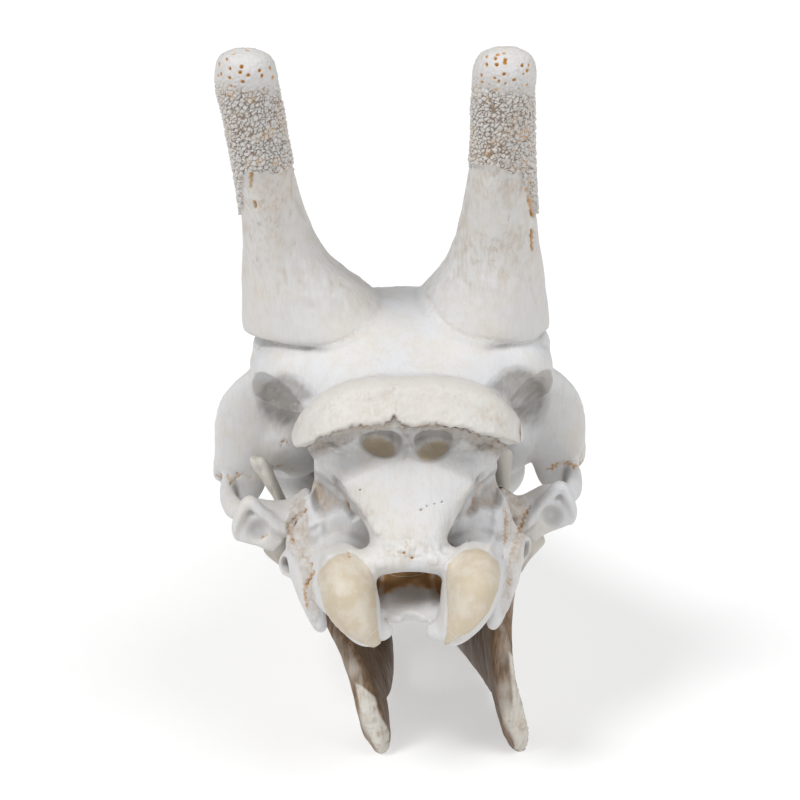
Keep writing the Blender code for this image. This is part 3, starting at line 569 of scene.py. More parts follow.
class Clay:  # the points of one bone in working centimetres, with the masks its colours follow
    def __init__(self, target):
        self.target = target
        spots, self.normals = pointsOf(target.data)
        self.spots = spots / cm
        self.masks = {name: np.zeros(len(spots)) for name in masks}
        self.look()

    def look(self):  # where each point is seen from the camera, and which points face it
        self.seenX, self.seenY = picture(self.spots)
        self.facing = -(self.normals @ np.array(aim()[0]))

    def side(self, way):  # drawings in millimetres along Y and Z, on the side that way faces
        self.seenX, self.seenY = self.spots[:, 1] * 10, self.spots[:, 2] * 10
        self.facing = way * self.normals[:, 0]

    def above(self):  # drawings in millimetres along X and Y, seen from above
        self.seenX, self.seenY = self.spots[:, 0] * 10, self.spots[:, 1] * 10
        self.facing = self.normals[:, 2]

    def done(self):
        mesh = self.target.data
        putPoints(mesh, self.spots * cm)
        for name, values in self.masks.items():
            layer = mesh.attributes.get(name) or mesh.attributes.new(name, "FLOAT", "POINT")
            layer.data.foreach_set("value", values.astype(np.float32))

    def move(self, weight, amount, direction=None):
        way = self.normals if direction is None else np.array(Vector(direction).normalized())
        self.spots = self.spots + way * (weight * amount)[:, None]

    def paint(self, weight, **amounts):
        for name, amount in amounts.items():
            self.masks[name] = np.maximum(self.masks[name], weight * amount)

    def press(self, center, reach, amount, direction=None):
        away = (self.spots - np.array(center)) / np.array(reach)
        self.move(unit(1 - (away ** 2).sum(1)) ** 2, amount, direction)

    def shown(self, span, facing):  # points between two depths that face the drawing enough
        return (self.spots[:, 1] > span[0]) & (self.spots[:, 1] < span[1]) & (self.facing > facing)

    def distance(self, path, span, facing):  # how far points lie from a drawn line, and how far along it
        near = np.full(len(self.spots), farOff)
        along = np.zeros(len(self.spots))
        path = np.array(path, float)
        low, high = path.min(0) - margin, path.max(0) + margin
        chosen = np.flatnonzero((self.seenX > low[0]) & (self.seenX < high[0]) & (self.seenY > low[1])
                                & (self.seenY < high[1]) & self.shown(span, facing))
        seen = np.column_stack([self.seenX[chosen], self.seenY[chosen]])
        best = np.full(len(chosen), farOff)
        walked = 0.0
        for start, end in zip(path, path[1:]):
            leg = end - start
            length = math.hypot(*leg)
            share = unit(((seen - start) @ leg) / max(length ** 2, 1e-9))
            gap = np.hypot(*(seen - start - share[:, None] * leg).T)
            closer = gap < best
            best[closer] = gap[closer]
            along[chosen[closer]] = walked + share[closer] * length
            walked += length
        near[chosen] = best
        return near, along

    def fill(self, path, span, facing):  # how far inside a closed outline, in drawing units
        closed = [*path, path[0]]
        away, _ = self.distance(closed, span, facing)
        inside = np.zeros(len(self.spots), bool)
        for (x1, y1), (x2, y2) in zip(closed, closed[1:]):
            crosses = (y1 > self.seenY) != (y2 > self.seenY)
            inside ^= crosses & (self.seenX < (x2 - x1) * (self.seenY - y1) / ((y2 - y1) or 1e-9) + x1)
        return np.where(inside & self.shown(span, facing), away, -away)

    def line(self, path, width, depth, span, zigzag=0.0, pitch=5.0, facing=0.05, stain=0.0, rough=0.0):
        # A groove (or with a negative depth a ridge) along a drawn line; width in drawing units
        path = spline(path, 6) if len(path) > 2 else np.array(path, float)
        if zigzag:
            path = zigzagged(path, zigzag, pitch)
        near, _ = self.distance(path, span, facing)
        wear = 0.75 + 0.5 * wander(self.spots, 0.5, 1)
        self.move(bell(near, width) * wear, -depth)
        self.paint(bell(near, width * 1.1) * wear, stain=stain)
        self.paint(bell(near, width * 3), rough=rough)

    def patch(self, center, radii, depth, span, turn=0.0, facing=0.05, sharp=1.0, direction=None, **amounts):
        # A drawn oval: pushed in by depth, with masks raised to the amounts given
        cos, sin = math.cos(math.radians(turn)), math.sin(math.radians(turn))
        dx, dy = self.seenX - center[0], self.seenY - center[1]
        across, down = (dx * cos + dy * sin) / radii[0], (-dx * sin + dy * cos) / radii[1]
        weight = eased(unit((1 - across ** 2 - down ** 2) * sharp) * self.shown(span, facing))
        self.move(weight, -depth, direction)
        self.paint(weight, **amounts)
        return weight


def zigzagged(path, height, pitch):  # the same line with the small teeth of a suture
    steps = np.hypot(*np.diff(path, axis=0).T)
    walked = np.concatenate([[0], np.cumsum(steps)])
    random = np.random.default_rng(1)
    marks = np.cumsum(pitch * (0.5 + random.random(int(walked[-1] / pitch * 2.2) + 2)) / 2)
    marks = marks[marks < walked[-1]]
    points, ahead = (np.column_stack([np.interp(marks + step, walked, path[:, i]) for i in (0, 1)])
                     for step in (0, 0.5))
    ahead = ahead - points
    sideways = np.column_stack([-ahead[:, 1], ahead[:, 0]])
    sideways /= np.maximum(np.linalg.norm(sideways, axis=1), 1e-6)[:, None]
    swing = height * (0.4 + 0.8 * random.random(len(marks))) * np.where(np.arange(len(marks)) % 2, 1, -1)
    return np.vstack([path[:1], points + sideways * swing[:, None], path[-1:]])


# Cranium

cranium = {
    "roughVoxel": 0.2,   # first joining of the solids
    "voxel": 0.138,      # final surface
    "blend": 10,         # smoothing steps that ease the joins
    "tilt": 0.038,       # rise of the right side for each centimetre outwards
    "ears": ((-1, 14.4), (1, 15.2)),  # side and height
    "toothFront": 39.8,
    "toothLengths": (2.1, 2.3, 2.3, 2.9, 3.1, 2.9),
    "toothPlace": (4.9, 0.09),   # of the front one, and what each next one adds
    "toothWide": (1.15, 0.06),
    "toothRings": ((13.2, 1, 0.46), (11.4, 1, 0.5), (9.9, 0.9, 0.48)),  # height, shares of width and length
    "gum": 11.9,
    "toothWay": -1,
}


def addBrainCase(group):
    # Roof plate from the nuchal crest to the root of the nose
    bar(group, [
        (0, 6.6, 25.6, 5.4, 2.4), (0, 9, 26.4, 7.4, 3.2), (0, 12, 27.6, 9.3, 4.1), (0, 14.5, 28.1, 10.3, 4.2),
        (0, 18, 27.4, 10.3, 4.1), (0, 22, 26.4, 9.6, 4.0), (0, 27, 25.3, 8.0, 3.7), (0, 32, 24.1, 5.6, 2.9),
        (0, 37, 22.4, 3.4, 2.2),
    ], sides=36)
    # Walls of the brain case
    bar(group, [
        (0, 6.4, 20.5, 5.4, 5.4), (0, 9, 21, 6.1, 6.6), (0, 13, 21.4, 6.2, 7.4), (0, 17, 21.6, 6.0, 7.4),
        (0, 21, 21.6, 6.2, 7.6), (0, 26, 21.6, 6.4, 8.0),
    ], sides=36, power=2.6)
    # Body of the occiput, widest over the mastoids
    bar(group, [
        (0, 9.4, 26.2, 5.8, 2.4), (0, 9.2, 24, 6.8, 2.6), (0, 9.5, 21.1, 6.3, 2.6), (0, 9.6, 19, 7.4, 2.5),
        (0, 9.7, 17.3, 8.3, 2.3), (0, 9.5, 15, 7.8, 2.3), (0, 9.2, 13, 6.9, 2.0),
    ], sides=36, power=2.5)
    # Central shield of the occiput, narrowing down to the foramen magnum
    bar(group, [
        (0, 7.4, 25.4, 6.9, 1.9), (0, 7.1, 24.0, 6.9, 1.7), (0, 6.6, 22.6, 6.3, 1.6),
        (0, 6.3, 21.2, 5.0, 1.7), (0, 5.9, 19.6, 3.7, 1.7), (0, 5.3, 18.1, 2.7, 1.7),
        (0, 5.0, 16.8, 2.4, 1.9),
    ], sides=40, power=3.0)
    # Nuchal crest
    half = [(-7.1, 5.9, 23.7, 0.8, 0.75), (-6.4, 5.4, 24.8, 1.5, 1.0), (-4.8, 5.0, 26.0, 1.9, 1.2),
            (-2.5, 4.9, 26.6, 2.0, 1.3)]
    bar(group, acrossMiddle(half, (0, 4.9, 26.7, 2.0, 1.3)), across=(0, 1, 1))
    half = [(-6.2, 7.2, 25.2, 1.5, 0.9), (-3.5, 6.8, 26.2, 2.4, 1.1)]
    bar(group, acrossMiddle(half, (0, 6.8, 26.6, 2.6, 1.15)), across=(0, 1, 0.6))
    # Floor of the brain case
    bar(group, [
        (0, 3.6, 12.3, 2.2, 0.5), (0, 6, 12.8, 2.6, 1.0), (0, 10, 13.6, 3.0, 1.8), (0, 15, 14, 2.8, 1.9),
        (0, 20, 14.4, 2.4, 1.6), (0, 26, 14.6, 2.2, 1.5),
    ])
    mirroredBall(group, (4.2, 9.3, 12.6), (1.5, 2.0, 1.7))
    # Condyles and their necks
    bothSides(group, stack(group, [
        (2.6, 2.3, 11.1, 0.45, 0.6), (2.9, 2.4, 11.7, 1.1, 1.5), (3.35, 2.7, 12.6, 1.55, 2.3),
        (3.8, 3.1, 13.6, 1.85, 2.85), (4.05, 3.5, 14.6, 1.95, 3.15), (4.15, 3.8, 15.5, 1.85, 3.1),
        (4.3, 4.2, 16.4, 1.45, 2.5), (4.4, 4.5, 17.1, 0.8, 1.5),
    ]))
    mirroredBar(group, [(4.1, 3.5, 14.2, 1.6, 2.2), (4.4, 6, 14.2, 2.1, 2.5), (4.6, 9, 14.6, 2.4, 2.6)])
    mirroredBar(group, [(3.2, 2.4, 12.6, 1.1, 1.0), (2.1, 2.7, 11.9, 0.7, 0.8), (1.1, 3.2, 11.9, 0.45, 0.5)],
                across=(0, 1, 0))
    # Arch over the foramen magnum, and its tubercle
    half = [(-3.9, 3.9, 15.6, 1.2, 0.9), (-2.2, 4.2, 16.3, 1.4, 1.0)]
    bar(group, acrossMiddle(half, (0, 4.4, 16.5, 1.5, 1.2)), across=(0, 1, 0))
    ball(group, (0, 4.1, 17.0), (1.9, 1.1, 0.9))
    # Paroccipital processes and bony ear tubes
    mirroredBar(group, [
        (7.1, 8.8, 16.4, 1.1, 1.6), (6.8, 8.3, 13.6, 0.95, 1.4), (6.2, 7.6, 11.6, 0.7, 1.1),
        (5.7, 7.1, 10.1, 0.4, 0.6),
    ])
    for side, high in cranium["ears"]:
        bar(group, [(side * 5.2, 10.8, 14.5, 1.0, 1.0), (side * 7.0, 9.8, high, 0.95, 0.95),
                    (side * 8.4, 8.8, high, 0.95, 0.95)], across=(0, 0, 1))


def addFace(group):
    # Long body of the face, from the orbits to the front of the nasals
    stations(group, [
        (20, 13.4, 28.6, 5.2, 6.0, 6.0, 4.2, 0.45),
        (24, 12.6, 28.7, 5.8, 6.6, 6.3, 4.2, 0.42),
        (28, 12.2, 28.2, 6.2, 6.9, 5.8, 3.8, 0.4),
        (33, 12.0, 26.9, 6.3, 6.4, 4.9, 3.2, 0.4),
        (38, 12.0, 25.0, 5.8, 5.5, 4.1, 2.7, 0.4),
        (42, 12.2, 23.2, 4.7, 4.5, 3.6, 2.5, 0.42),
        (45, 12.3, 21.0, 3.9, 4.0, 3.2, 2.2, 0.45),
        (48, 12.3, 17.6, 3.3, 3.5, 2.9, 2.0, 0.5),
        (51, 12.1, 15.2, 2.9, 3.2, 2.7, 1.9, 0.5),
    ])
    ball(group, (0, 27.0, 25.8), (5.2, 6.8, 3.4))
    # Nasal bones, a notch between their tips
    mirroredBar(group, [
        (1.6, 33, 25.8, 1.8, 0.9), (1.5, 38, 24.1, 1.8, 0.8), (1.4, 43, 22.3, 1.6, 0.65),
        (1.2, 48, 20.7, 1.25, 0.5), (0.95, 51.2, 19.7, 0.6, 0.35),
    ])
    # Premaxillae
    mirroredBar(group, [
        (3.2, 43, 16.6, 0.8, 1.5), (2.8, 48, 14.9, 0.9, 1.4),
        (2.5, 53, 13.2, 1.05, 1.1), (2.6, 59, 11.6, 1.4, 0.8), (2.5, 64.4, 10.2, 1.25, 0.5),
    ])
    mirroredBar(group, [
        (2.9, 44, 13.2, 1.1, 0.8), (2.4, 49, 12.7, 1.0, 0.7), (2.0, 54, 12.2, 1.1, 0.6),
        (2.2, 58.5, 11.5, 1.1, 0.5),
    ])
    mirroredBar(group, [(0.5, 47, 12.6, 0.5, 0.5), (0.5, 53, 12.1, 0.5, 0.45), (0.55, 59, 11.4, 0.55, 0.4)])
    bar(group, [(0, 58, 11.5, 2.4, 0.5), (0, 60.5, 11.1, 3.0, 0.5), (0, 62.5, 10.8, 2.6, 0.45)])
    # Pterygoid plates
    mirroredBar(group, [(3.1, 18.5, 13.6, 0.5, 1.2), (3.2, 21, 12.9, 0.5, 1.6), (3.5, 25, 12.8, 0.6, 1.5)])


def addOrbits(group):
    mirroredBall(group, (7.8, 20.8, 21.8), (4.0, 5.0, 4.7), (0, -8, 0))
    # Rim of the eye socket
    ring = []
    for i in range(13):
        turn = math.radians(30 * i)
        lean = (1.9 if i < 6 else 1.4) * math.sin(turn)
        ring.append((11.2 - lean - 0.5 * math.cos(turn),
                     21.3 + 4.0 * math.cos(turn), 21.7 + 3.9 * math.sin(turn), 1.0, 0.75))
    mirroredBar(group, ring)
    # Postorbital wings
    mirroredBar(group, [
        (7.7, 15.4, 27.6, 2.9, 1.6), (7.9, 16.3, 25.2, 2.9, 1.1), (9.8, 17.0, 22.6, 3.3, 0.85),
        (10.8, 17.3, 20.2, 2.65, 0.75), (11.2, 17.5, 18.6, 1.9, 0.8),
    ])
    mirroredBar(group, [
        (7.4, 16.6, 27, 2.4, 1.8), (7.4, 17.4, 24, 3.2, 1.5), (7.6, 17.9, 21.5, 3.4, 1.2),
        (7.7, 18.2, 19.6, 3.0, 0.8),
    ])
    # Floor of the orbit
    mirroredBall(group, (7.2, 23.6, 16.5), (2.4, 3.7, 2.1))
    # Buttresses of the brain case under the roof and the horns
    mirroredBall(group, (7.6, 14.4, 26.2), (3.0, 4.4, 2.6), (0, 20, 0))
    mirroredBall(group, (6.3, 12.8, 27.4), (4.0, 3.9, 3.1), (0, 12, 0))


def addArches(group):
    # Roots of the cheek arches, roofing the jaw joints
    mirroredBar(group, [
        (6.0, 12.2, 17.8, 2.0, 1.2), (8.0, 12.0, 17.2, 1.8, 0.7), (10.0, 11.9, 17.75, 1.8, 0.6),
        (11.2, 12.4, 17.6, 1.4, 0.6),
    ], across=(0, 1, 0))
    # Hoods over the jaw joints: a plate with a raised rim
    hood = [(10.6, 18.9), (11.45, 17.3), (11.3, 16.0), (10.1, 15.6), (8.9, 15.0), (8.1, 15.6), (8.4, 16.8)]
    bothSides(group, plate(group, hood, 10.3, 10.85))
    mirroredBar(group, [
        (7.6, 10.4, 16.3, 0.6, 0.55), (8.6, 10.3, 16.9, 0.6, 0.45), (9.7, 10.3, 18.1, 0.6, 0.4),
        (10.6, 10.4, 18.85, 0.6, 0.4), (11.2, 10.5, 18.0, 0.6, 0.36), (11.55, 10.7, 16.9, 0.55, 0.32),
        (11.35, 10.9, 16.0, 0.45, 0.3),
    ], across=(0, 1, 0), steps=5)
    mirroredBar(group, [
        (10.7, 17.3, 20.6, 2.4, 0.7), (11.1, 17.45, 18.9, 1.8, 0.75), (11.35, 17.5, 17.5, 1.5, 0.8),
        (11.5, 17.4, 16.5, 1.0, 0.8),
    ])
    mirroredBar(group, [
        (10.8, 11.2, 17.7, 0.7, 0.55), (11.8, 13.2, 17.6, 0.6, 0.8), (12.3, 16, 17.5, 0.55, 1.0),
        (12.3, 19, 17.6, 0.6, 1.15), (11.8, 22.5, 17.9, 0.75, 1.4), (10.3, 26.5, 18.0, 0.9, 1.7),
        (8.0, 30.5, 17.5, 0.9, 1.8), (6.0, 34.5, 16.5, 0.6, 1.6), (4.6, 38, 15.8, 0.4, 1.2),
    ])


hornForm = {  # both edges in x at each level, on the left (-1) and the right, then y, z, half depth
    -1: [(-11.0, 2.0), (-10.95, -0.8), (-10.9, -2.5), (-10.8, -4.4), (-10.7, -5.6), (-10.7, -6.3),
         (-10.85, -6.9), (-11.1, -7.35), (-11.4, -7.7), (-11.8, -8.1), (-11.95, -8.25), (-11.75, -8.5),
         (-11.0, -9.2)],
    1: [(10.2, -2.0), (9.9, 0.2), (9.6, 1.5), (9.3, 2.6), (8.95, 3.25), (8.65, 3.6), (8.4, 3.85), (8.2, 4.1),
        (8.0, 4.1), (7.8, 4.05), (7.8, 4.05), (7.55, 4.3), (6.8, 5.05)],
    "levels": [(14.4, 29.6, 5.6), (13.6, 31.4, 4.6), (12.9, 33.0, 3.9), (12.0, 34.6, 3.1), (11.1, 36.2, 2.6),
               (10.1, 38.0, 2.3), (9.1, 39.9, 2.1), (8.1, 41.8, 1.95), (6.8, 44.2, 1.85), (5.6, 46.6, 1.85),
               (5.0, 48.0, 1.85), (4.8, 49.1, 1.5), (4.7, 49.7, 0.75)],
}


def hornRows(side):  # the left horn leans out more than the right one
    return [((a + b) / 2, y, z, abs(a - b) / 2, deep)
            for (a, b), (y, z, deep) in zip(hornForm[side], hornForm["levels"])]


def toothRow(row):  # place, half width, length and middle of each cheek tooth, from the front
    front = row["toothFront"]
    for number, length in enumerate(row["toothLengths"]):
        place, wide = (first + growth * number for first, growth in (row["toothPlace"], row["toothWide"]))
        yield place, wide, length, front - length / 2
        front -= length


def addTeeth(group, row, sides):
    for place, wide, length, middle in toothRow(row):
        for side in sides:
            bar(group, [(side * place, middle, z, wide * narrow, length * share)
                        for z, narrow, share in row["toothRings"]], power=3.0, steps=3)


def cutHollows(skull):
    cuts = collection("cranium cutters")
    # Underside of the crest, a ragged overhang
    half = [(-8.4, 5.6, 21.0, 2.0, 1.8), (-6.6, 4.9, 21.8, 2.1, 2.1), (-5, 4.2, 22.9, 2.0, 2.0),
            (-2.5, 3.9, 23.7, 1.7, 1.75)]
    bar(cuts, acrossMiddle(half, (0, 3.8, 23.9, 1.6, 1.7)), across=(0, 1, 0))
    # Recesses under the temporal lines
    mirroredBall(cuts, (9.0, 10.3, 22.4), (3.1, 5.0, 5.0), (-14, 8, 0))
    # Temporal fossae, open behind and below
    mirroredBall(cuts, (9.8, 11.2, 20.0), (3.4, 5.3, 4.6), (0, 12, 0))
    mirroredBall(cuts, (9.4, 16.5, 16.4), (1.9, 4.6, 2.5))
    # Eye sockets, narrowing inwards
    mirroredBall(cuts, (13.2, 21.4, 21.8), (5.8, 3.4, 3.4), (0, 8, 8))
    # Foramen magnum and the start of the brain cavity
    bar(cuts, [
        (0, -1, 12.6, 2.0, 1.7), (0, 2.8, 13.8, 2.0, 1.6), (0, 6.5, 15.3, 1.9, 1.6), (0, 9.5, 16.6, 1.6, 1.4),
    ], power=2.6)
    # Notch between the condyles, below the foramen
    bar(cuts, [(0.1, 0, 11.6, 0.75, 1.0), (0.1, 3.6, 11.9, 0.7, 1.2), (0.1, 4.4, 12.2, 0.4, 0.8)], power=2.4)
    # Ligament pits under the crest
    mirroredBall(cuts, (1.75, 4.9, 23.8), (1.6, 1.7, 0.85), (20, 0, 0))
    # Nasal aperture
    bar(cuts, [
        (0, 37, 17.4, 1.8, 2.2), (0, 41, 17.4, 2.5, 2.9), (0, 46, 17.0, 2.6, 3.1), (0, 50, 16.2, 2.3, 3.1),
        (0, 56, 15.3, 1.9, 3.0),
    ])
    # Slots of the palate
    mirroredBar(cuts, [(1.25, 50.5, 12.4, 0.35, 1.2), (1.35, 54, 12.0, 0.45, 1.2),
                       (1.35, 57.4, 11.7, 0.3, 1.2)])
    # Vault of the palate between the tooth rows
    bar(cuts, [(0, 21, 11.4, 2.3, 1.2), (0, 27, 11.7, 3.0, 1.2), (0, 35, 11.6, 3.2, 1.1),
               (0, 43, 11.5, 2.6, 0.9), (0, 49, 11.4, 1.4, 0.7)], power=2.5)
    # Choanae, opening back under the palate
    bar(cuts, [(0, 14.6, 11.9, 2.0, 1.3), (0, 20, 12.6, 2.3, 1.7), (0, 24, 13.6, 2.0, 1.4),
               (0, 27, 14.2, 1.5, 1.0)])
    boolean(skull, "DIFFERENCE", cuts)


def cutJoints(skull):
    cuts = collection("joint cutters")
    # Backs of the jaw joints
    mirroredBall(cuts, (10.1, 9.4, 16.7), (1.15, 1.25, 1.35), (0, 20, 0))
    # Ear tubes
    for side, high in cranium["ears"]:
        bar(cuts, [(side * 7.2, 9.6, high, 0.5, 0.5), (side * 9.0, 8.3, high, 0.7, 0.7)], across=(0, 0, 1))
    boolean(skull, "DIFFERENCE", cuts)


broadHollows = [  # middle on the right side, reach, depth
    ((5.3, 6.6, 20.0), (2.0, 3, 2.4), 1.1), ((4.6, 5.6, 18.2), (1.5, 3, 1.6), 0.5),
    ((6.0, 41, 21.5), (4, 6, 3), 0.5), ((6.4, 33.5, 20.5), (2.5, 4.5, 2.5), 0.5),
    ((4.2, 36.5, 23.8), (1.6, 3.5, 1.6), 0.6),
]


def shapeCranium(clay):
    for side in (-1, 1):
        clay.press((side * 8.2, 21.4, 21.8), (4.5, 3.3, 3.3), -2.2, (side, 0, 0))  # eye socket
        for (x, y, z), reach, depth in broadHollows:
            clay.press((side * x, y, z), reach, -depth)


def tilt(spots):  # working cm; the right cheek, ear and jaw joint sit a little higher than the left ones
    x, y, z = spots.T
    share = unit((np.abs(x) - 8) / 1.5) * unit((23 - z) / 4) * unit((26 - y) / 8)
    spots[:, 2] += cranium["tilt"] * x * share
    return spots


def makeCranium(home):
    parts = collection("cranium parts")
    addBrainCase(parts)
    addFace(parts)
    addOrbits(parts)
    for side in (-1, 1):
        stack(parts, hornRows(side))
    skull = joined("cranium", parts, home)
    remesh(skull, cranium["roughVoxel"], cranium["blend"])
    report("cranium joined")
    cutHollows(skull)
    late = collection("arches and teeth")
    addArches(late)
    addTeeth(late, cranium, (-1, 1))
    boolean(skull, "UNION", late)
    cutJoints(skull)
    remesh(skull, cranium["voxel"], 5)
    putPoints(skull.data, tilt(pointsOf(skull.data)[0] / cm) * cm)
    report(f"cranium cut, {len(skull.data.vertices)} points")
    return skull


# Lower jaw

jaw = {
    "lean": 13.0,       # degrees to the left at the rear
    "shift": 3.2,
    "roughVoxel": 0.2,
    "voxel": 0.13,
    "toothFront": 39.8,
    "toothLengths": (1.9, 2.2, 2.4, 2.8, 2.9, 3.3),
    "toothPlace": (3.6, 0.15),
    "toothWide": (0.75, 0.06),
    "toothRings": ((6.2, 1, 0.45), (8.0, 1, 0.5), (9.2, 0.85, 0.46)),
    "gum": 7.8,
    "toothWay": 1,
    "joints": {-1: (9.4, 15.8), 1: (10.1, 16.1)},  # how far out and how high
}


def addJaw(group, side):  # half of the jaw, upright, before it is leaned over
    def out(rows):
        return [(side * row[0], *row[1:]) for row in rows]

    stack(group, out([
        (4.9, 12.3, -0.25, 0.7, 2.6), (4.85, 13.0, 1.0, 0.95, 4.2), (4.8, 15.0, 3, 0.95, 6.4),
        (4.85, 15.8, 5.5, 0.75, 7.0), (5.2, 15.9, 8, 0.7, 6.6), (5.9, 15.7, 10.5, 0.62, 5.6),
        (6.7, 15.3, 12.5, 0.6, 4.4), (7.2, 15.1, 14, 0.55, 3.3), (7.5, 15.6, 15.3, 0.45, 1.9),
        (7.9, 15.6, 17, 0.45, 1.4), (8.35, 15.3, 19, 0.62, 0.95), (8.6, 15.1, 20, 0.7, 0.6),
        (8.7, 15.0, 20.5, 0.5, 0.35),
    ]), steps=4)
    # Thick rear edge and the pad at the angle
    bar(group, out([(4.9, 10.6, 0.7, 0.95, 1.0), (4.9, 9.5, 3.0, 0.95, 0.9), (5.0, 9.4, 6.0, 0.8, 0.8),
                    (5.6, 10.1, 9.0, 0.7, 0.75), (6.7, 11.4, 12.0, 0.7, 0.7), (7.5, 12.0, 13.8, 0.8, 0.7)]))
    # Joint
    far, high = jaw["joints"][side]
    bar(group, out([(7.0, 12.8, 12.2, 0.8, 1.0), (7.9, 12.4, 13.8, 1.1, 0.8),
                    (far - 0.7, 12.2, high - 0.5, 1.4, 0.7)]))
    ball(group, (side * far, 12.0, high), (1.5, 0.85, 0.6), (0, side * -20, 0))
    # Tooth-bearing body, its lower edge nearer to the middle, and the chin
    bar(group, out([
        (4.9, 14.5, 4.6, 0.6, 3.0), (4.75, 18, 4.4, 1.0, 3.7), (4.5, 22, 4.0, 1.3, 3.8),
        (4.1, 27, 3.7, 1.4, 3.9), (3.7, 32, 3.6, 1.4, 3.85), (3.3, 37, 3.8, 1.3, 3.4),
        (2.7, 42, 4.0, 1.05, 2.5), (2.1, 46, 4.4, 0.95, 1.9), (1.6, 50, 5.1, 1.1, 1.5),
        (1.35, 54, 6.0, 1.25, 1.2), (1.6, 58, 7.0, 1.55, 0.95), (1.75, 60.6, 7.7, 1.7, 0.7),
    ]), across=(1, 0, -0.2 * side))
    addTeeth(group, jaw, (side,))
    for number in range(4):
        x = side * (0.45 + 0.84 * number)
        bend = 0.12 * number * number
        bar(group, [
            (x * 0.92, 59.6 - bend, 7.6, 0.3, 0.3), (x, 61.8 - bend, 8.3, 0.38, 0.26),
            (x * 1.04, 63.7 - bend, 9.0, 0.4, 0.12),
        ], sides=16, steps=4)


def leanOver(spots):  # working cm; most at the joints and not at all at the front teeth
    share = eased(unit((50 - spots[:, 1]) / 32))
    height = spots[:, 2].copy()
    spots[:, 2] += 0.02 * spots[:, 0] * share * unit(height / 16)
    spots[:, 0] += share * (jaw["shift"] - math.tan(math.radians(jaw["lean"])) * height)
    return spots


def makeJaw(home, name, side):
    parts = collection("jaw parts")
    addJaw(parts, side)
    half = joined(name, parts, home)
    remesh(half, jaw["roughVoxel"], 6)
    remesh(half, jaw["voxel"], 4)
    spots, _ = pointsOf(half.data)
    putPoints(half.data, leanOver(spots / cm) * cm)
    return half


# Where one bone ends and the next begins

def regionHorn(group, side):
    corners = []
    for x, y in ((0.02, 0), (16, 0), (16, 26), (0.02, 26)):
        low = 31.74 + 0.376 * (6 - x) + 0.51 * (y - 13.5)
        corners.append(((side * x, y, low), (side * x, y, 60)))
    skinRings(group, [np.array([c[level] for c in corners]) * cm for level in (0, 1)], "prism")


def regionCrest(group, side):
    half = [(-8.6, 6.2, 23.0, 1.5, 1.0), (-7.0, 5.3, 24.9, 1.8, 1.4), (-4, 4.9, 26.2, 2.1, 1.8)]
    bar(group, acrossMiddle(half, (0, 4.8, 26.6, 2.15, 1.9)), across=(0, 1, 1), steps=2, sides=10)


def regionCondyle(group, side):
    ball(group, (side * 4.1, 2.9, 14.2), (2.75, 3.5, 4.1), (0, side * -17, 0), 32, 20)


def regionParoccipital(group, side):
    ball(group, (side * 6.0, 7.3, 10.6), (1.8, 2.0, 2.2), (0, 0, 0), 12, 8)


def regionOccipital(group, side):
    box(group, (-12, -4, 6), (12, 7.4, 32))


def regionZygomatic(group, side):
    box(group, (side * 9.0, 6, 12), (side * 18, 40, 19.2))


def regionFrontal(group, side):
    box(group, (-16, 7.0, 24.2), (16, 33.6, 45))
    for way in (-1, 1):
        box(group, (way * 6.6, 14.6, 16), (way * 18, 27.4, 45))


def regionNasal(group, side):
    bar(group, [(0, y, z, w, t) for y, z, w, t in [
        (34.0, 25.6, 2.9, 1.3), (38, 24.1, 3.1, 1.2), (43, 22.3, 2.9, 1.1), (48, 20.7, 2.6, 1.0),
        (52.5, 19.4, 2.0, 0.9),
    ]], power=3.0, steps=1, sides=12)


def regionPremaxilla(group, side):
    box(group, (side * seam, 47.0, 4), (side * 12, 80, 18.9))


def regionMaxilla(group, side):
    box(group, (-16, maxillaStart, 4), (16, 60, 40))


def regionRear(group, side):
    box(group, (-16, -4, 4), (16, 13.0, 24.2))


finerParts = {  # parts of the cranium that are worked finer: opposite corners and voxel
    "rear": ((-16, -4, 4), (16, 14.0, 34), 0.085),
    "ossicone_left_bone": ((-16, -2, 25), (1, 26, 44), 0.08),
    "ossicone_right_bone": ((-1, -2, 25), (16, 26, 44), 0.08),
}


def keep(whole, region, side=0):
    inside = collection("inside")
    region(inside, side)
    boolean(whole, "INTERSECT", united(inside))


def remove(whole, region, side=0):
    outside = collection("outside")
    region(outside, side)
    boolean(whole, "DIFFERENCE", outside)


def finer(whole, name):
    low, high, voxel = finerParts[name]
    part = newObject(name, whole.data.copy(), whole.users_collection[0])
    keep(part, lambda group, side: box(group, low, high))
    remesh(part, voxel, 3)
    return part


def split(whole, name, region, side):
    taken = newObject(name, whole.data.copy(), whole.users_collection[0])
    keep(taken, region, side)
    remove(whole, region, side)
    return taken


# Marks that the picture shows

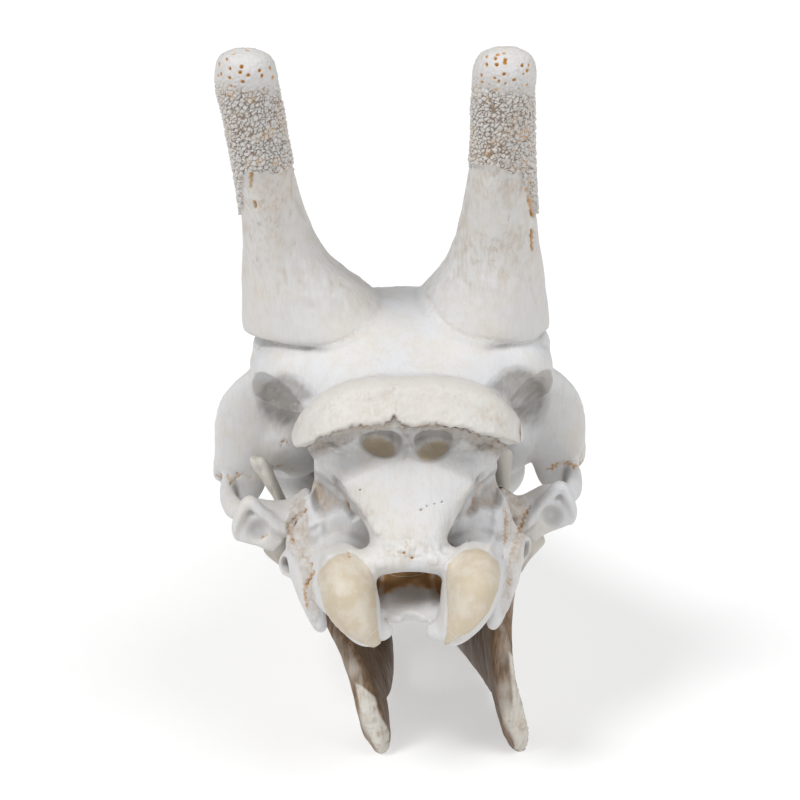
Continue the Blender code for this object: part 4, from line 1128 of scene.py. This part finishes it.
def markRear(clay):  # what only the back of the head has
    spots = clay.spots
    x, y, z = spots.T
    way = np.array(aim()[0])

    # Ragged rim of the nuchal crest, its underside set in and painted with shade, dark streaks and a dark
    # ragged edge
    rimX, rimY = np.array(crestRim).T
    under = clay.seenY - np.interp(clay.seenX, rimX, rimY)
    under = under - 1.7 * wander(spots, 0.5, 11) - 1.5 * wander(spots, 0.2, 12)
    near = (clay.seenX > 291) & (clay.seenX < 521) & (y < 8) & (z > 20) & (clay.facing > -0.4)
    face = bell(under + 21, 12) * near
    clay.move(face, 0.28, way)
    clay.move(face, 0.05 * wander(spots, 1.1, 16) + 0.03 * wander(spots, 0.4, 17))
    clay.paint(face * unit(wander(spots, 1.6, 34) * 1.5), warm=0.3)
    clay.paint(face * unit(0.4 + wander(spots, 1.1, 35)), rough=0.8)
    outward = unit((np.abs(x) - 2.5) / 3)
    deep = unit(under / 1.4) * unit((40 - under) / 30) ** 2 * near
    clay.move(deep, np.clip(6.9 - y, 0, 0.6 + 0.4 * outward), way)
    clay.move(bell(under + 3.0, 2.5) * near, 0.09)
    below = unit(under / 1.5) * unit((14 + 12 * outward - under) / 12) * near
    streaks = wander(spots * [1.6, 1, 0.35], 0.35, 15)
    clay.move(below, 0.10 * streaks)
    # painted shade under the overhang of the crest
    clay.paint(below, rough=1.0, warm=0.45, hollow=0.8)
    clay.paint(below * unit(streaks), crevice=0.7)
    # painted shade along the ragged lower edge of the rim
    ragged = bell(under - 1.8, 1.6) * near * unit(0.7 + wander(spots, 0.25, 13))
    clay.paint(ragged, crevice=0.8)
    clay.line([(401, 423), (406, 435), (409, 446), (408, 458)], 2.0, -0.34, (0, 8), rough=0.6)
    for spot, turn in (((379, 446), 16), ((433, 450), -20)):
        pit = clay.patch(spot, (23, 13), 0.25, (0, 12), turn, -0.5, 1.1, ivory=0.7, warm=0.4, rough=1.0)
        clay.masks["hollow"] *= 1 - 0.9 * pit

    # Condyle facets with a raised border
    for outline in condyleFacets:
        depth = clay.fill(spline(outline + outline[:1], 5)[:-1], (-2, 8.5), -0.1)
        border = depth + 1.2 * wander(spots, 0.35, 19)
        clay.paint(unit(border + 0.7), ivory=1.0)
        clay.move(unit((border + 0.6) / 1.2), 0.05 + 0.02 * wander(spots, 0.9, 20))
        clay.move(bell(depth + 1.6, 1.2), -0.05)
    for side in (-1, 1):
        away = (spots - [side * 4.15, 3.2, 13.4]) / [2.3, 3.0, 2.9]
        clay.paint(((away ** 2).sum(1) < 1) * (clay.facing < -0.1) * (y < 4.6) * (np.abs(x) > 2.3), ivory=1.0)

    # Inside of the foramen magnum: its upper part painted deep orange-brown, partly stain and partly painted
    # shade under the roof
    height = z - 12.6 - 0.38 * (y + 1)
    wide = np.hypot(x, height)
    inward = -(clay.normals[:, 0] * x + clay.normals[:, 2] * height) / np.maximum(wide, 0.1)
    cavity = (wide < 2.9) & (y > 2.4) & (y < 12)
    roof = 590 + 0.012 * (clay.seenX - 411) ** 2 + 2 * wander(spots, 0.4, 18)
    inner = cavity * unit((y - 2.2) / 1.2) * unit(inward * 3 - 0.8)
    deepIn = unit((y - 3.3) / 1.2) * unit(1 - 0.4 * np.abs(wander(spots, 0.8, 14)))
    clay.paint(inner * deepIn * unit((roof - clay.seenY) / 8), stain=1.25)
    clay.masks["hollow"] *= 1 - 0.75 * inner

    # Hollows beside the shield, folds of the mastoids, floors of the fossae and recesses, with painted shade
    # in the hollows and along the shield's edges
    for outline, edge, crease in sideHollows:
        inside = unit(clay.fill(outline, (2, 12.5), -0.4) / 11 + 0.1 * wander(spots, 0.5, 23))
        inside = eased(inside) * unit((23.6 - z) / 1.4)
        folds = np.abs(wander(spots * [1, 1, 0.5], 0.8, 24)) - 0.3
        clay.move(inside, 1.0 + 0.35 * folds, way)
        # warm tint and painted shade inside the hollows beside the shield
        clay.paint(inside * unit(0.75 + folds), warm=0.85)
        clay.paint(inside, rough=0.8)
        clay.paint(inside * unit(0.55 - folds), hollow=0.7)
        clay.line(edge, 3.4, -0.13, (2, 11), facing=-0.3, rough=0.5)
        clay.line(crease, 2.4, 0.3, (2, 14), facing=-0.5, stain=0.55)
        outside = unit(clay.fill(outline, (1, 11), -0.4) / 4 + 1.2)
        near, along = clay.distance(spline(edge, 6), (1, 11), -0.3)
        band = bell(near, 8) * (near < 40) * (0.35 + 0.65 * outside)
        fibres = wander(np.column_stack([near * 0.16, along * 0.03, 0 * near]), 0.5, 28)
        clay.move(band, 0.05 * fibres)
        # painted shade in a band along the shield's edge
        clay.paint(band, rough=0.9, hollow=0.85)
        clay.paint(band * unit(-fibres - 0.3), crevice=0.4)
    # Sponge-like bone above the foramen, its holes painted darker
    sponge = bell(clay.seenX - 412, 34) * bell(clay.seenY - 549, 17) * (y < 8) * (clay.facing > 0)
    holes = unit(-wander(spots, 0.28, 25) * 1.5 - 0.25)
    clay.move(sponge, 0.05 * wander(spots, 0.45, 26) - 0.09 * holes)
    clay.paint(sponge, rough=0.8)
    clay.paint(sponge * holes, crevice=0.45)
    # Cupped backs of the jaw joints, painted with shade inside
    for spot, radii, turn in (((250, 511), (15, 10), 38), ((559, 500), (13, 10), -42)):
        inside = clay.patch(spot, radii, 0.3, (8, 13), turn, -0.2, 1.4, way, hollow=1.0, rough=0.5)
        clay.move(inside, 0.05 * wander(spots, 0.3, 27))
    for fold in ([(310, 526), (321, 523), (322, 543), (328, 557)],
                 [(487, 509), (495, 515), (493, 532), (490, 546)]):
        clay.line(fold, 3.5, -0.22, (2, 12), facing=-0.2)
    # warm tint with painted shade on the walls of the temporal fossae
    for spot, radii in (((272, 450), (30, 48)), ((522, 448), (26, 46))):
        clay.patch(spot, radii, 0, (7.5, 19), 0, -0.3, 1.5, warm=0.42)
    # Crumpled flakes of bone behind the ear openings
    for outline in flakes:
        depth = unit(clay.fill(outline, (5, 12.5), -0.3) / 4)
        crumple = np.abs(wander(spots * [1, 1, 0.6], 0.55, 21)) - 0.3 + 0.5 * np.abs(wander(spots, 0.22, 22))
        clay.move(depth, 0.16 * crumple)
        clay.paint(depth, rough=1.0, warm=0.4)
    for *spot, depth in ((380, 564, -0.12), (389, 546, -0.1), (405, 551, -0.14), (433, 560, -0.12),
                         (447, 549, 0.12)):
        clay.patch(spot, (8, 7), depth, (0, 9))


def markShared(clay):
    spots = clay.spots
    x, y, z = spots.T
    clay.move(np.ones(len(spots)), 0.035 * wander(spots, 1.8, 71) + 0.018 * wander(spots, 0.7, 72))
    # recesses under the temporal lines, pushed in and painted with shade
    for outline in recesses:
        depth = eased(unit(clay.fill(outline, (5, 19), -0.7) / 13) * unit((456 - clay.seenY) / 66))
        lines = wander(np.column_stack([x * 0.3 + z * 0.3, y, z - x]), 0.3, 41) + 0.8 * wander(spots, 0.8, 42)
        clay.move(depth, 0.6, aim()[0])
        clay.move(depth, 0.09 * lines)
        clay.paint(unit(depth * (1.0 + 0.35 * lines)), hollow=1.0, rough=0.7)
    # Sutures and cracks
    for path, width, depth, span, zigzag, pitch, stain in sutures:
        clay.line(path, width, depth, span, zigzag, pitch, -0.2, stain)
    # small holes pushed in and painted dark
    for spot, radius in foramina:
        clay.patch(spot, (radius * 1.3, radius * 1.3), 0.18, (0, 17), stain=1.0)
    # cracks in the horns pushed in and painted dark
    for slit, width in hornSlits:
        clay.line(slit, width, 0.22, (3, 12), zigzag=0.8, stain=1.1)

    # Horn shafts: grooves running up, swept round the shaft
    shaft = unit((z - 30) / 3) * (np.abs(x) > 1.5)
    around = np.column_stack([x + 0.12 * z, y + 0.55 * z, z * 0.10])
    grooves = wander(around, 0.30, 31) * 0.5 + wander(around, 0.75, 32) * 0.5
    clay.move(shaft, 0.085 * grooves)
    # the bottoms of the grooves painted warmer and darker
    clay.paint(shaft * unit(-grooves * 1.8 - 0.1), warm=0.45)
    upper = unit((z - 32) / 5) * shaft
    clay.paint(upper * unit(wander(spots, 2.6, 33) * 1.2 + 0.15 + 0.3 * (x < 0)), warm=0.3)
    clay.paint(upper * unit(0.7 + wander(spots, 3, 36)), rough=1.0)


crestRim = [(292, 455), (307, 445), (321, 435), (338, 430), (355, 425), (375, 424), (391, 420), (394, 415),
            (397, 420), (405, 423), (417, 425), (436, 424), (453, 427), (467, 428), (481, 434), (492, 435),
            (506, 444), (519, 451)]
condyleFacets = [
    [(338, 554), (352, 554), (366, 565), (372, 577), (375, 588), (376, 607), (377, 627), (380, 648),
     (358, 641), (341, 630), (327, 613), (320, 591), (318, 574), (327, 563)],
    [(478, 548), (464, 551), (453, 560), (447, 568), (447, 588), (448, 613), (447, 633), (445, 645),
     (464, 635), (478, 624), (491, 607), (498, 588), (500, 568), (492, 556)],
]
recesses = [
    [(252, 392), (258, 380), (270, 373), (284, 370), (299, 374), (311, 384), (323, 396), (306, 412),
     (294, 432), (288, 455), (272, 452), (262, 430), (255, 410)],
    [(552, 388), (545, 375), (533, 367), (518, 363), (503, 366), (492, 376), (480, 388), (497, 402),
     (512, 424), (521, 450), (534, 450), (544, 430), (551, 408)],
]
flakes = [
    [(304, 478), (290, 505), (281, 523), (283, 545), (300, 575), (304, 612), (316, 632), (322, 612),
     (314, 570), (312, 520)],
    [(506, 470), (521, 488), (533, 512), (528, 540), (516, 575), (512, 606), (500, 628), (498, 606),
     (504, 560), (500, 510)],
]
sideHollows = [  # outline, edge of the shield, crease
    ([(301, 466), (320, 475), (339, 489), (353, 503), (364, 518), (352, 524), (341, 512), (327, 521),
      (313, 514), (306, 492)], [(300, 460), (321, 472), (341, 486), (355, 500), (367, 515), (378, 533)],
     [(337, 487), (344, 499), (347, 512)]),
    ([(508, 464), (492, 474), (477, 487), (467, 500), (459, 517), (470, 522), (480, 511), (492, 516),
      (503, 508), (508, 488)], [(510, 457), (492, 469), (475, 483), (463, 497), (455, 514), (449, 533)],
     [(482, 484), (476, 497), (474, 510)]),
]
sutures = [  # path, width, depth, depths it lies between, zigzag and its pitch, stain amount
    ([(246, 348), (270, 349), (300, 350), (330, 344), (348, 338), (366, 324), (380, 305), (393, 288)], 1.8,
     0.05, (6, 20), 1.5, 5, 0.3),
    ([(552, 345), (525, 346), (495, 341), (465, 335), (448, 326), (438, 312), (424, 293)], 1.8, 0.05,
     (6, 20), 1.5, 5, 0.3),
    ([(214, 478), (226, 476), (234, 483), (240, 473), (250, 478)], 0.9, 0.1, (13, 20), 2.5, 5, 0.9),
    ([(546, 471), (556, 465), (565, 462), (575, 466), (588, 459)], 0.9, 0.1, (13, 20), 2.5, 5, 0.9),
    ([(268, 469), (280, 466), (295, 470)], 0.8, 0.08, (9, 18), 1.5, 4, 0.7),
    ([(281, 448), (284, 438), (288, 446)], 0.8, 0.08, (9, 18), 0.8, 4, 0.7),
    ([(305, 509), (297, 518), (289, 526), (292, 540), (300, 552), (311, 566)], 1.1, 0.16, (4, 12), 1.8, 5,
     0.9),
    ([(313, 571), (310, 577), (305, 591), (307, 606)], 1.4, 0.2, (4, 12), 1.2, 5, 1.1),
    ([(319, 518), (332, 513), (344, 512)], 0.8, 0.08, (2, 12), 1.2, 4, 0.5),
    ([(506, 515), (505, 532), (503, 557)], 1.0, 0.12, (4, 12), 1.5, 4, 0.8),
    ([(529, 505), (522, 520), (518, 540), (510, 560), (509, 584)], 1.1, 0.14, (4, 12), 1.8, 5, 0.8),
    ([(388, 521), (384, 530), (378, 541)], 1.2, 0.06, (0, 9), 1.5, 4, 0.2),
    ([(262, 538), (270, 534), (278, 541)], 1.0, 0.12, (7, 13), 1.2, 4, 0.9),
]
foramina = [((421, 510), 1.2), ((427, 506), 0.9), ((434, 504), 0.8), ((442, 502), 0.9), ((360, 490), 0.8),
            ((468, 541), 1.4), ((349, 552), 1.6), ((350, 556), 1.3), ((404, 553), 1.6), ((412, 558), 1.7),
            ((282, 442), 1.3), ((408, 330), 0.9)]
hornSlits = [([(250, 167), (251, 177), (250, 187)], 1.8), ([(254, 202), (255, 208)], 1.3),
             ([(528, 190), (531, 202), (534, 215)], 2.6), ([(527, 147), (528, 165)], 1.4),
             ([(532, 230), (533, 250)], 1.3)]

jawPads = {
    -1: [(356, 684), (360, 707), (366, 729), (376, 748), (386, 760), (394, 752), (388, 729), (379, 714),
         (375, 697), (364, 688)],
    1: [(509, 652), (511, 675), (513, 697), (512, 720), (515, 750), (536, 746), (538, 733), (532, 712),
        (525, 690), (515, 660)],
}
jawBlades = {
    -1: [(257, 459), (264, 478), (274, 497), (283, 511)],
    1: [(523, 470), (520, 482), (515, 497)],
}


def markJaw(clay, side):
    x, y, z = clay.spots.T
    clay.move(np.ones(len(x)), 0.03 * wander(clay.spots, 1.8, 71) + 0.015 * wander(clay.spots, 0.7, 72))
    # brown with painted shade on the lower parts: inward faces back to mid-length, all faces near the rear
    inward = unit(-side * clay.normals[:, 0] * 1.5)
    low = unit((15.5 - z) / 4) * np.maximum(unit((40 - y) / 18) * inward,
                                            unit((18.5 - y) / 7) * (0.75 + 0.25 * inward))
    streaks = wander(clay.spots * [1, 1, 0.16], 0.35, 51)
    # Rugose pads at the rear corners, drawn on the picture, and the rest of the angle by its place
    pad = unit(clay.fill(jawPads[side], (4, 15), 0.1) / 3 + 0.5)
    edge = unit(-clay.normals[:, 1] * 1.8 - 0.7) * unit((9 - z) / 3)
    pad = np.maximum(pad, edge * unit((4.5 - z) / 1.5))
    wrinkles = wander(clay.spots * [1, 1, 2.2], 0.55, 52) * 0.6 + wander(clay.spots, 0.25, 53) * 0.5
    brown = low * (0.85 + 0.25 * streaks + 0.25 * wander(clay.spots, 1.6, 54))
    clay.paint(unit(brown) * (1 - pad), brown=1.0)
    clay.move(low * (1 - pad), 0.03 * streaks)
    clay.move(pad, 0.12 * wrinkles)
    clay.paint(pad, rough=1.0)
    clay.paint(pad * unit(-wrinkles * 1.5 - 0.2), crevice=0.6)
    # Scooped rear face of the coronoid blade
    clay.line(jawBlades[side], 4.5, 0.22, (12, 17.5), facing=-0.3, rough=0.4)
    markTeeth(clay, side, jaw)


def markTeeth(clay, side, row):  # crowns with two crescents each
    x, y, z = clay.spots.T
    way = row["toothWay"]
    for place, wide, length, middle in toothRow(row):
        u = (y - middle) / (length / 2)
        v = (np.abs(x) - place) / wide
        over = unit(((z - row["gum"]) * way + 0.12 * wander(clay.spots, 0.5, 61)) / 0.2)
        crown = over * (np.abs(u) < 1.04) * (np.abs(v) < 1.5) * (x * side > 0)
        flat = unit(clay.normals[:, 2] * way * 2 - 0.7) * crown
        lobe = np.hypot((np.abs(u) - 0.5) / 0.5, v)
        waves = np.cos(lobe * 2 * math.pi / 0.85)
        clay.move(flat, 0.13 * waves, (0, 0, way))
        clay.move(crown * (1 - flat), -0.16 * bell(u, 0.16) + 0.04 * np.cos(u * 12))
        clay.paint(crown, enamel=1.0)
        clay.paint(flat * unit(-waves * 1.5 - 0.3), crevice=1.0)
        clay.paint(crown * (1 - flat) * bell(np.abs(u) - 1, 0.1), crevice=0.8)


faceLines = [  # path, width, stain amount
    ([(290, 178), (325, 190), (345, 205), (372, 215)], 1.2, 0.8),
    ([(275, 236), (300, 232), (330, 214), (345, 205)], 1.2, 0.8),
    ([(345, 240), (380, 226), (430, 208), (470, 192)], 1.2, 0.7),
    ([(430, 205), (455, 180), (470, 150), (480, 122)], 1.2, 0.8),
    ([(172, 250), (190, 265), (215, 272), (245, 268), (262, 255)], 1.2, 0.7),
    ([(300, 178), (320, 150), (345, 148)], 1.2, 0.6),
]
topLines = [[(0, 150), (0, 250), (0, 330)], [(0, 335), (0, 420), (0, 510)],
            [(-62, 262), (-30, 300), (0, 332)], [(62, 262), (30, 300), (0, 332)]]


def markFace(clay):  # what shows from the sides and from above, drawn in millimetres
    for way in (-1, 1):
        markTeeth(clay, way, cranium)
        clay.side(way)
        for path, width, stain in faceLines:
            clay.line(path, width, 0.07, anywhere, 1.4, 4, 0.15, stain * 0.8)
        clay.patch((392, 160), (6, 4), 0.5, anywhere, 15, 0.2, 1.2, stain=0.9)
        clay.patch((318, 205), (4, 5), 0.35, anywhere, 0, 0.2, 1.2, stain=0.9)
        gums = [(380, 135), (410, 150), (430, 140), (425, 125), (250, 122), (250, 140)]
        clay.paint(unit(clay.fill(gums, anywhere, 0.1) / 6), rough=0.6, warm=0.3)
    clay.above()
    for path in topLines:
        clay.line(path, 1.0, 0.06, anywhere, 1.6, 4, 0.3, 0.6)
    clay.look()


# Fine relief

relief = {
    "noduleScale": 350.0,  # nodules to a metre
    "noduleHeight": 1.9,   # mm
    "pitScale": 195.0,
    "pitDepth": 2.4,
    "striation": 0.2,
    "grain": 0.25,
    "seed": 7,
}


def newTree(name, inputs):
    group = bpy.data.node_groups.new(name, "GeometryNodeTree")
    group.interface.new_socket("Geometry", in_out="INPUT", socket_type="NodeSocketGeometry")
    keys = {}
    for label, value in inputs.items():
        kind = "NodeSocketInt" if isinstance(value, int) else "NodeSocketFloat"
        keys[label] = group.interface.new_socket(label, in_out="INPUT", socket_type=kind).identifier
    group.interface.new_socket("Geometry", in_out="OUTPUT", socket_type="NodeSocketGeometry")
    return group, keys


def reliefTree(material):
    group, keys = newTree("boneRelief", relief)
    tree = Tree(group)
    solid, *given = (tree.node("NodeGroupInput", {}, {}, label) for label in ("Geometry", *relief))
    noduleScale, noduleHeight, pitScale, pitDepth, striation, grain, seed = given
    place = tree.node("GeometryNodeInputPosition")
    normal = tree.node("GeometryNodeInputNormal")
    knob, pitted, rough, drawn, depth = (
        tree.node("GeometryNodeInputNamedAttribute", {"data_type": "FLOAT"}, {"Name": name})
        for name in ("knob", "pitted", "rough", "crevice", "depth"))
    offset = tree.vector("ADD", place, tree.joint(seed * 0.37, seed * 0.11, seed * 0.23))
    warp = tree.noise(offset, 260, 2)
    swing = tree.vector("MULTIPLY", tree.joint(warp - 0.5, 0.5 - warp, warp - 0.5), (0.005, 0.005, 0.005))
    bent = tree.vector("ADD", offset, swing)
    nodule, small = (tree.cells(bent, noduleScale * size, "DISTANCE_TO_EDGE") for size in (1, 1.9))
    dome = tree.cells(bent, noduleScale)
    lumps = (tree.smooth(nodule, 0.0, 0.3) * 0.45 + (1 - dome * dome * 1.6) * 0.35
             + tree.smooth(small, 0.0, 0.35) * 0.2)
    pits = tree.smooth(tree.cells(offset, pitScale, "F1", 0.85), 0.29, 0.14)
    grains = tree.noise(offset, 450, 3) - 0.5
    streaks = tree.noise(tree.vector("MULTIPLY", offset, (1, 1, 0.12)), 420, 3) - 0.5
    vessels = tree.smooth(tree.cells(tree.vector("MULTIPLY", offset, (1, 1, 0.1)), 130), 0.17, 0.06)
    onHorn = tree.smooth(tree.part(place, 2), 0.30, 0.36) * (1 - knob)
    sleeve = knob * (1 - pitted * 0.72)
    height = (lumps - 0.5) * sleeve * noduleHeight - pits * pitted * pitDepth
    height = height + (streaks * striation * 2 - vessels * 0.7) * onHorn + grains * rough * grain * 2
    # painted shade in the gaps between nodules and along vessel grooves, added to the drawn crevices
    crevice = tree.smooth(nodule, 0.15, 0.01) * sleeve * sleeve + vessels * onHorn * 0.4 + drawn
    for name, value in (("pit", pits * pitted), ("depth", height * mm), ("crevice", crevice)):
        solid = tree.node("GeometryNodeStoreNamedAttribute", {"data_type": "FLOAT", "domain": "POINT"},
                          {"Geometry": solid, "Name": name, "Value": value})
    shift = tree.node("ShaderNodeVectorMath", {"operation": "SCALE"}, {0: normal, "Scale": depth})
    solid = tree.node("GeometryNodeSetPosition", {}, {"Geometry": solid, "Offset": shift})
    solid = tree.node("GeometryNodeRealizeInstances", {}, {"Geometry": solid})
    solid = tree.node("GeometryNodeSetMaterial", {}, {"Geometry": solid, "Material": material})
    tree.node("NodeGroupOutput", {}, {"Geometry": solid})
    return group, keys


def addRelief(target, material):
    group, keys = reliefTree(material)
    step = target.modifiers.new("relief", "NODES")
    step.node_group = group
    for label, key in keys.items():
        step[key] = relief[label]
    applyModifiers(target)


def hollows(target, voxel):  # how deep each point lies in a hollow, against a much smoother copy; this sets the painted shade
    soft = newObject("soft", target.data.copy(), target.users_collection[0])
    ease(soft, int(0.68 / voxel ** 2), 0.8)
    softSpots, (spots, normals) = pointsOf(soft.data)[0], pointsOf(target.data)
    bpy.data.objects.remove(soft)
    deepest = 0.12 * cm
    return unit(((softSpots - spots) * normals).sum(1) / deepest)


def detail(target, voxel, material, *marks):
    clay = Clay(target)
    # painted shade, strongest where the hollows are deepest
    clay.masks["hollow"] = hollows(target, voxel)
    for mark in marks:
        mark(clay)
    clay.done()
    addRelief(target, material)


# The knobbly sleeve and the pitted dome of one horn, around its shaft

tips = {
    "voxel": 0.0545,
    "start": 36,        # height of the first row, inside the shaft
    "border": 41.5,     # height where the knobs begin
    "outerDrop": 2.8,   # how much lower they begin on the outer side
    "thickness": 0.12,
    "sunk": 0.35,       # how far the rest lies inside the shaft
    "pitted": 46.5,     # height where pits take over
}


def makeTip(home, side, material):
    rows = np.array([row for row in hornRows(side) if row[2] > tips["start"]])
    rows[0] = (rows[0] + rows[1]) / 2 - [0, 0, 0, 0.6, 0.6]
    rows[-2:, 2] -= [0.15, 0.3]  # a rounder dome, to leave room for its relief
    rows[-2:, 3:] *= [[0.93], [0.7]]
    tip = stack(home, rows, sides=48)
    tip.name = f"ossicone_{'left' if side < 0 else 'right'}_tip"
    remesh(tip, tips["voxel"], 5)
    clay = Clay(tip)
    spots, z = clay.spots, clay.spots[:, 2]
    outer = unit((side * clay.normals[:, 0] - 0.35) / 0.55)
    ragged = 0.6 * wander(spots, 0.9, 3) + 0.45 * wander(spots, 0.4, 4)
    sleeve = unit((z - (tips["border"] - tips["outerDrop"] * outer ** 2 + ragged)) / 0.22)
    thick = tips["thickness"] + 0.05 * wander(spots, 1.5, 9) - 0.05 * unit((z - 46) / 2)
    clay.move(sleeve * (thick + tips["sunk"]) - tips["sunk"], 1.0)
    clay.masks["knob"] = sleeve
    clay.masks["pitted"] = unit((z - tips["pitted"] + 0.5 * wander(spots, 0.5, 5)) / 1.5)
    clay.done()
    addRelief(tip, material)
    return tip


# Putting it together

crispAngle = 60  # degrees; sharper edges aren't shaded smoothly
easing = 0.003   # metres inside the solids' box where points begin to be held back


def within(spots):  # metres; what stands proud of the solids' box is eased back inside it
    low, high = cadBox
    walls = ((0, -1, low[0]), (0, 1, high[0]), (1, -1, low[1]), (1, 1, high[1]), (2, 1, high[2]))
    for axis, way, end in walls:
        proud = way * (spots[:, axis] - end) + easing
        back = end - way * easing * np.exp(-np.maximum(proud, 0) / easing)
        spots[:, axis] = np.where(proud > 0, back, spots[:, axis])
    return spots


def finishPiece(piece, node, material):
    mesh = piece.data
    mesh.transform(Matrix.Translation(toFrame))
    putPoints(mesh, within(pointsOf(mesh)[0]))
    mesh.materials.clear()
    mesh.materials.append(material)
    mesh.name = piece.name
    for face in mesh.polygons:
        face.use_smooth = True
    mesh.set_sharp_from_angle(angle=math.radians(crispAngle))
    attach(piece, "root")
    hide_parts(node)
    print(f"    {piece.name}: {sum(len(face.vertices) - 2 for face in mesh.polygons)} triangles")


def buildSkull():
    home = collection("skull")
    skull = makeCranium(home)
    clay = Clay(skull)
    shapeCranium(clay)
    clay.done()
    rear, *horns = (finer(skull, name) for name in finerParts)
    report("finer copies")
    bone = boneFinish("bleachedBone", 0.25, 0.56, boneLook)
    crest = boneFinish("creamCrest", 0.5, 0.5, crestLook)
    hornBone = boneFinish("hornBone", 0.3, 0.6, hornLook)
    jawBone = boneFinish("jawBone", 0.2, 0.55, jawLook)
    detail(skull, cranium["voxel"], bone, markShared, markFace)
    detail(rear, finerParts["rear"][2], bone, markRear, markShared)
    pieces = []

    def take(whole, node, region, side, look):
        pieces.append((split(whole, node + "_bone", region, side), node, look))

    for horn, node, side in zip(horns, ("ossicone_left", "ossicone_right"), (-1, 1)):
        detail(horn, finerParts[horn.name][2], hornBone, markShared)
        keep(horn, regionHorn, side)
        remove(skull, regionHorn, side)
        pieces += [(horn, node, hornBone), (makeTip(home, side, hornBone), node, hornBone)]
    report("marks, relief and horns")
    take(rear, "nuchal_crest", regionCrest, 0, crest)
    take(rear, "condyle_left", regionCondyle, -1, bone)
    take(rear, "condyle_right", regionCondyle, 1, bone)
    take(rear, "paroccipital_process_left", regionParoccipital, -1, bone)
    take(rear, "paroccipital_process_right", regionParoccipital, 1, bone)
    take(rear, "occipital", regionOccipital, 0, bone)
    keep(rear, regionRear)
    for side in (-1, 1):
        remove(rear, regionZygomatic, side)
    rear.name = "brain_case_rear_bone"
    pieces.append((rear, "brain_case", bone))
    report("rear parted")
    for region in (regionCrest, regionOccipital):
        remove(skull, region)
    take(skull, "zygomatic_arch_left", regionZygomatic, -1, bone)
    take(skull, "zygomatic_arch_right", regionZygomatic, 1, bone)
    take(skull, "nasals", regionNasal, 0, bone)
    take(skull, "premaxilla_left", regionPremaxilla, -1, bone)
    take(skull, "premaxilla_right", regionPremaxilla, 1, bone)
    take(skull, "frontal", regionFrontal, 0, bone)
    take(skull, "maxilla", regionMaxilla, 0, bone)
    remove(skull, regionRear)
    skull.name = "brain_case_bone"
    pieces.append((skull, "brain_case", bone))
    report("cranium parted")
    for node, side in (("mandible_left", -1), ("mandible_right", 1)):
        half = makeJaw(home, node + "_bone", side)
        clay = Clay(half)
        markJaw(clay, side)
        clay.done()
        addRelief(half, jawBone)
        cuts = collection("floor and chin cutters")
        box(cuts, (-20, 0, -3), (20, 70, 0))
        box(cuts, (side * seam, 40, 0.5), (side * -10, 70, 12))
        boolean(half, "DIFFERENCE", cuts)
        pieces.append((half, node, jawBone))
    report("jaw")
    for piece, node, look in pieces:
        finishPiece(piece, node, look)


makeStudio()
buildSkull()
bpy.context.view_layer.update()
report("done")
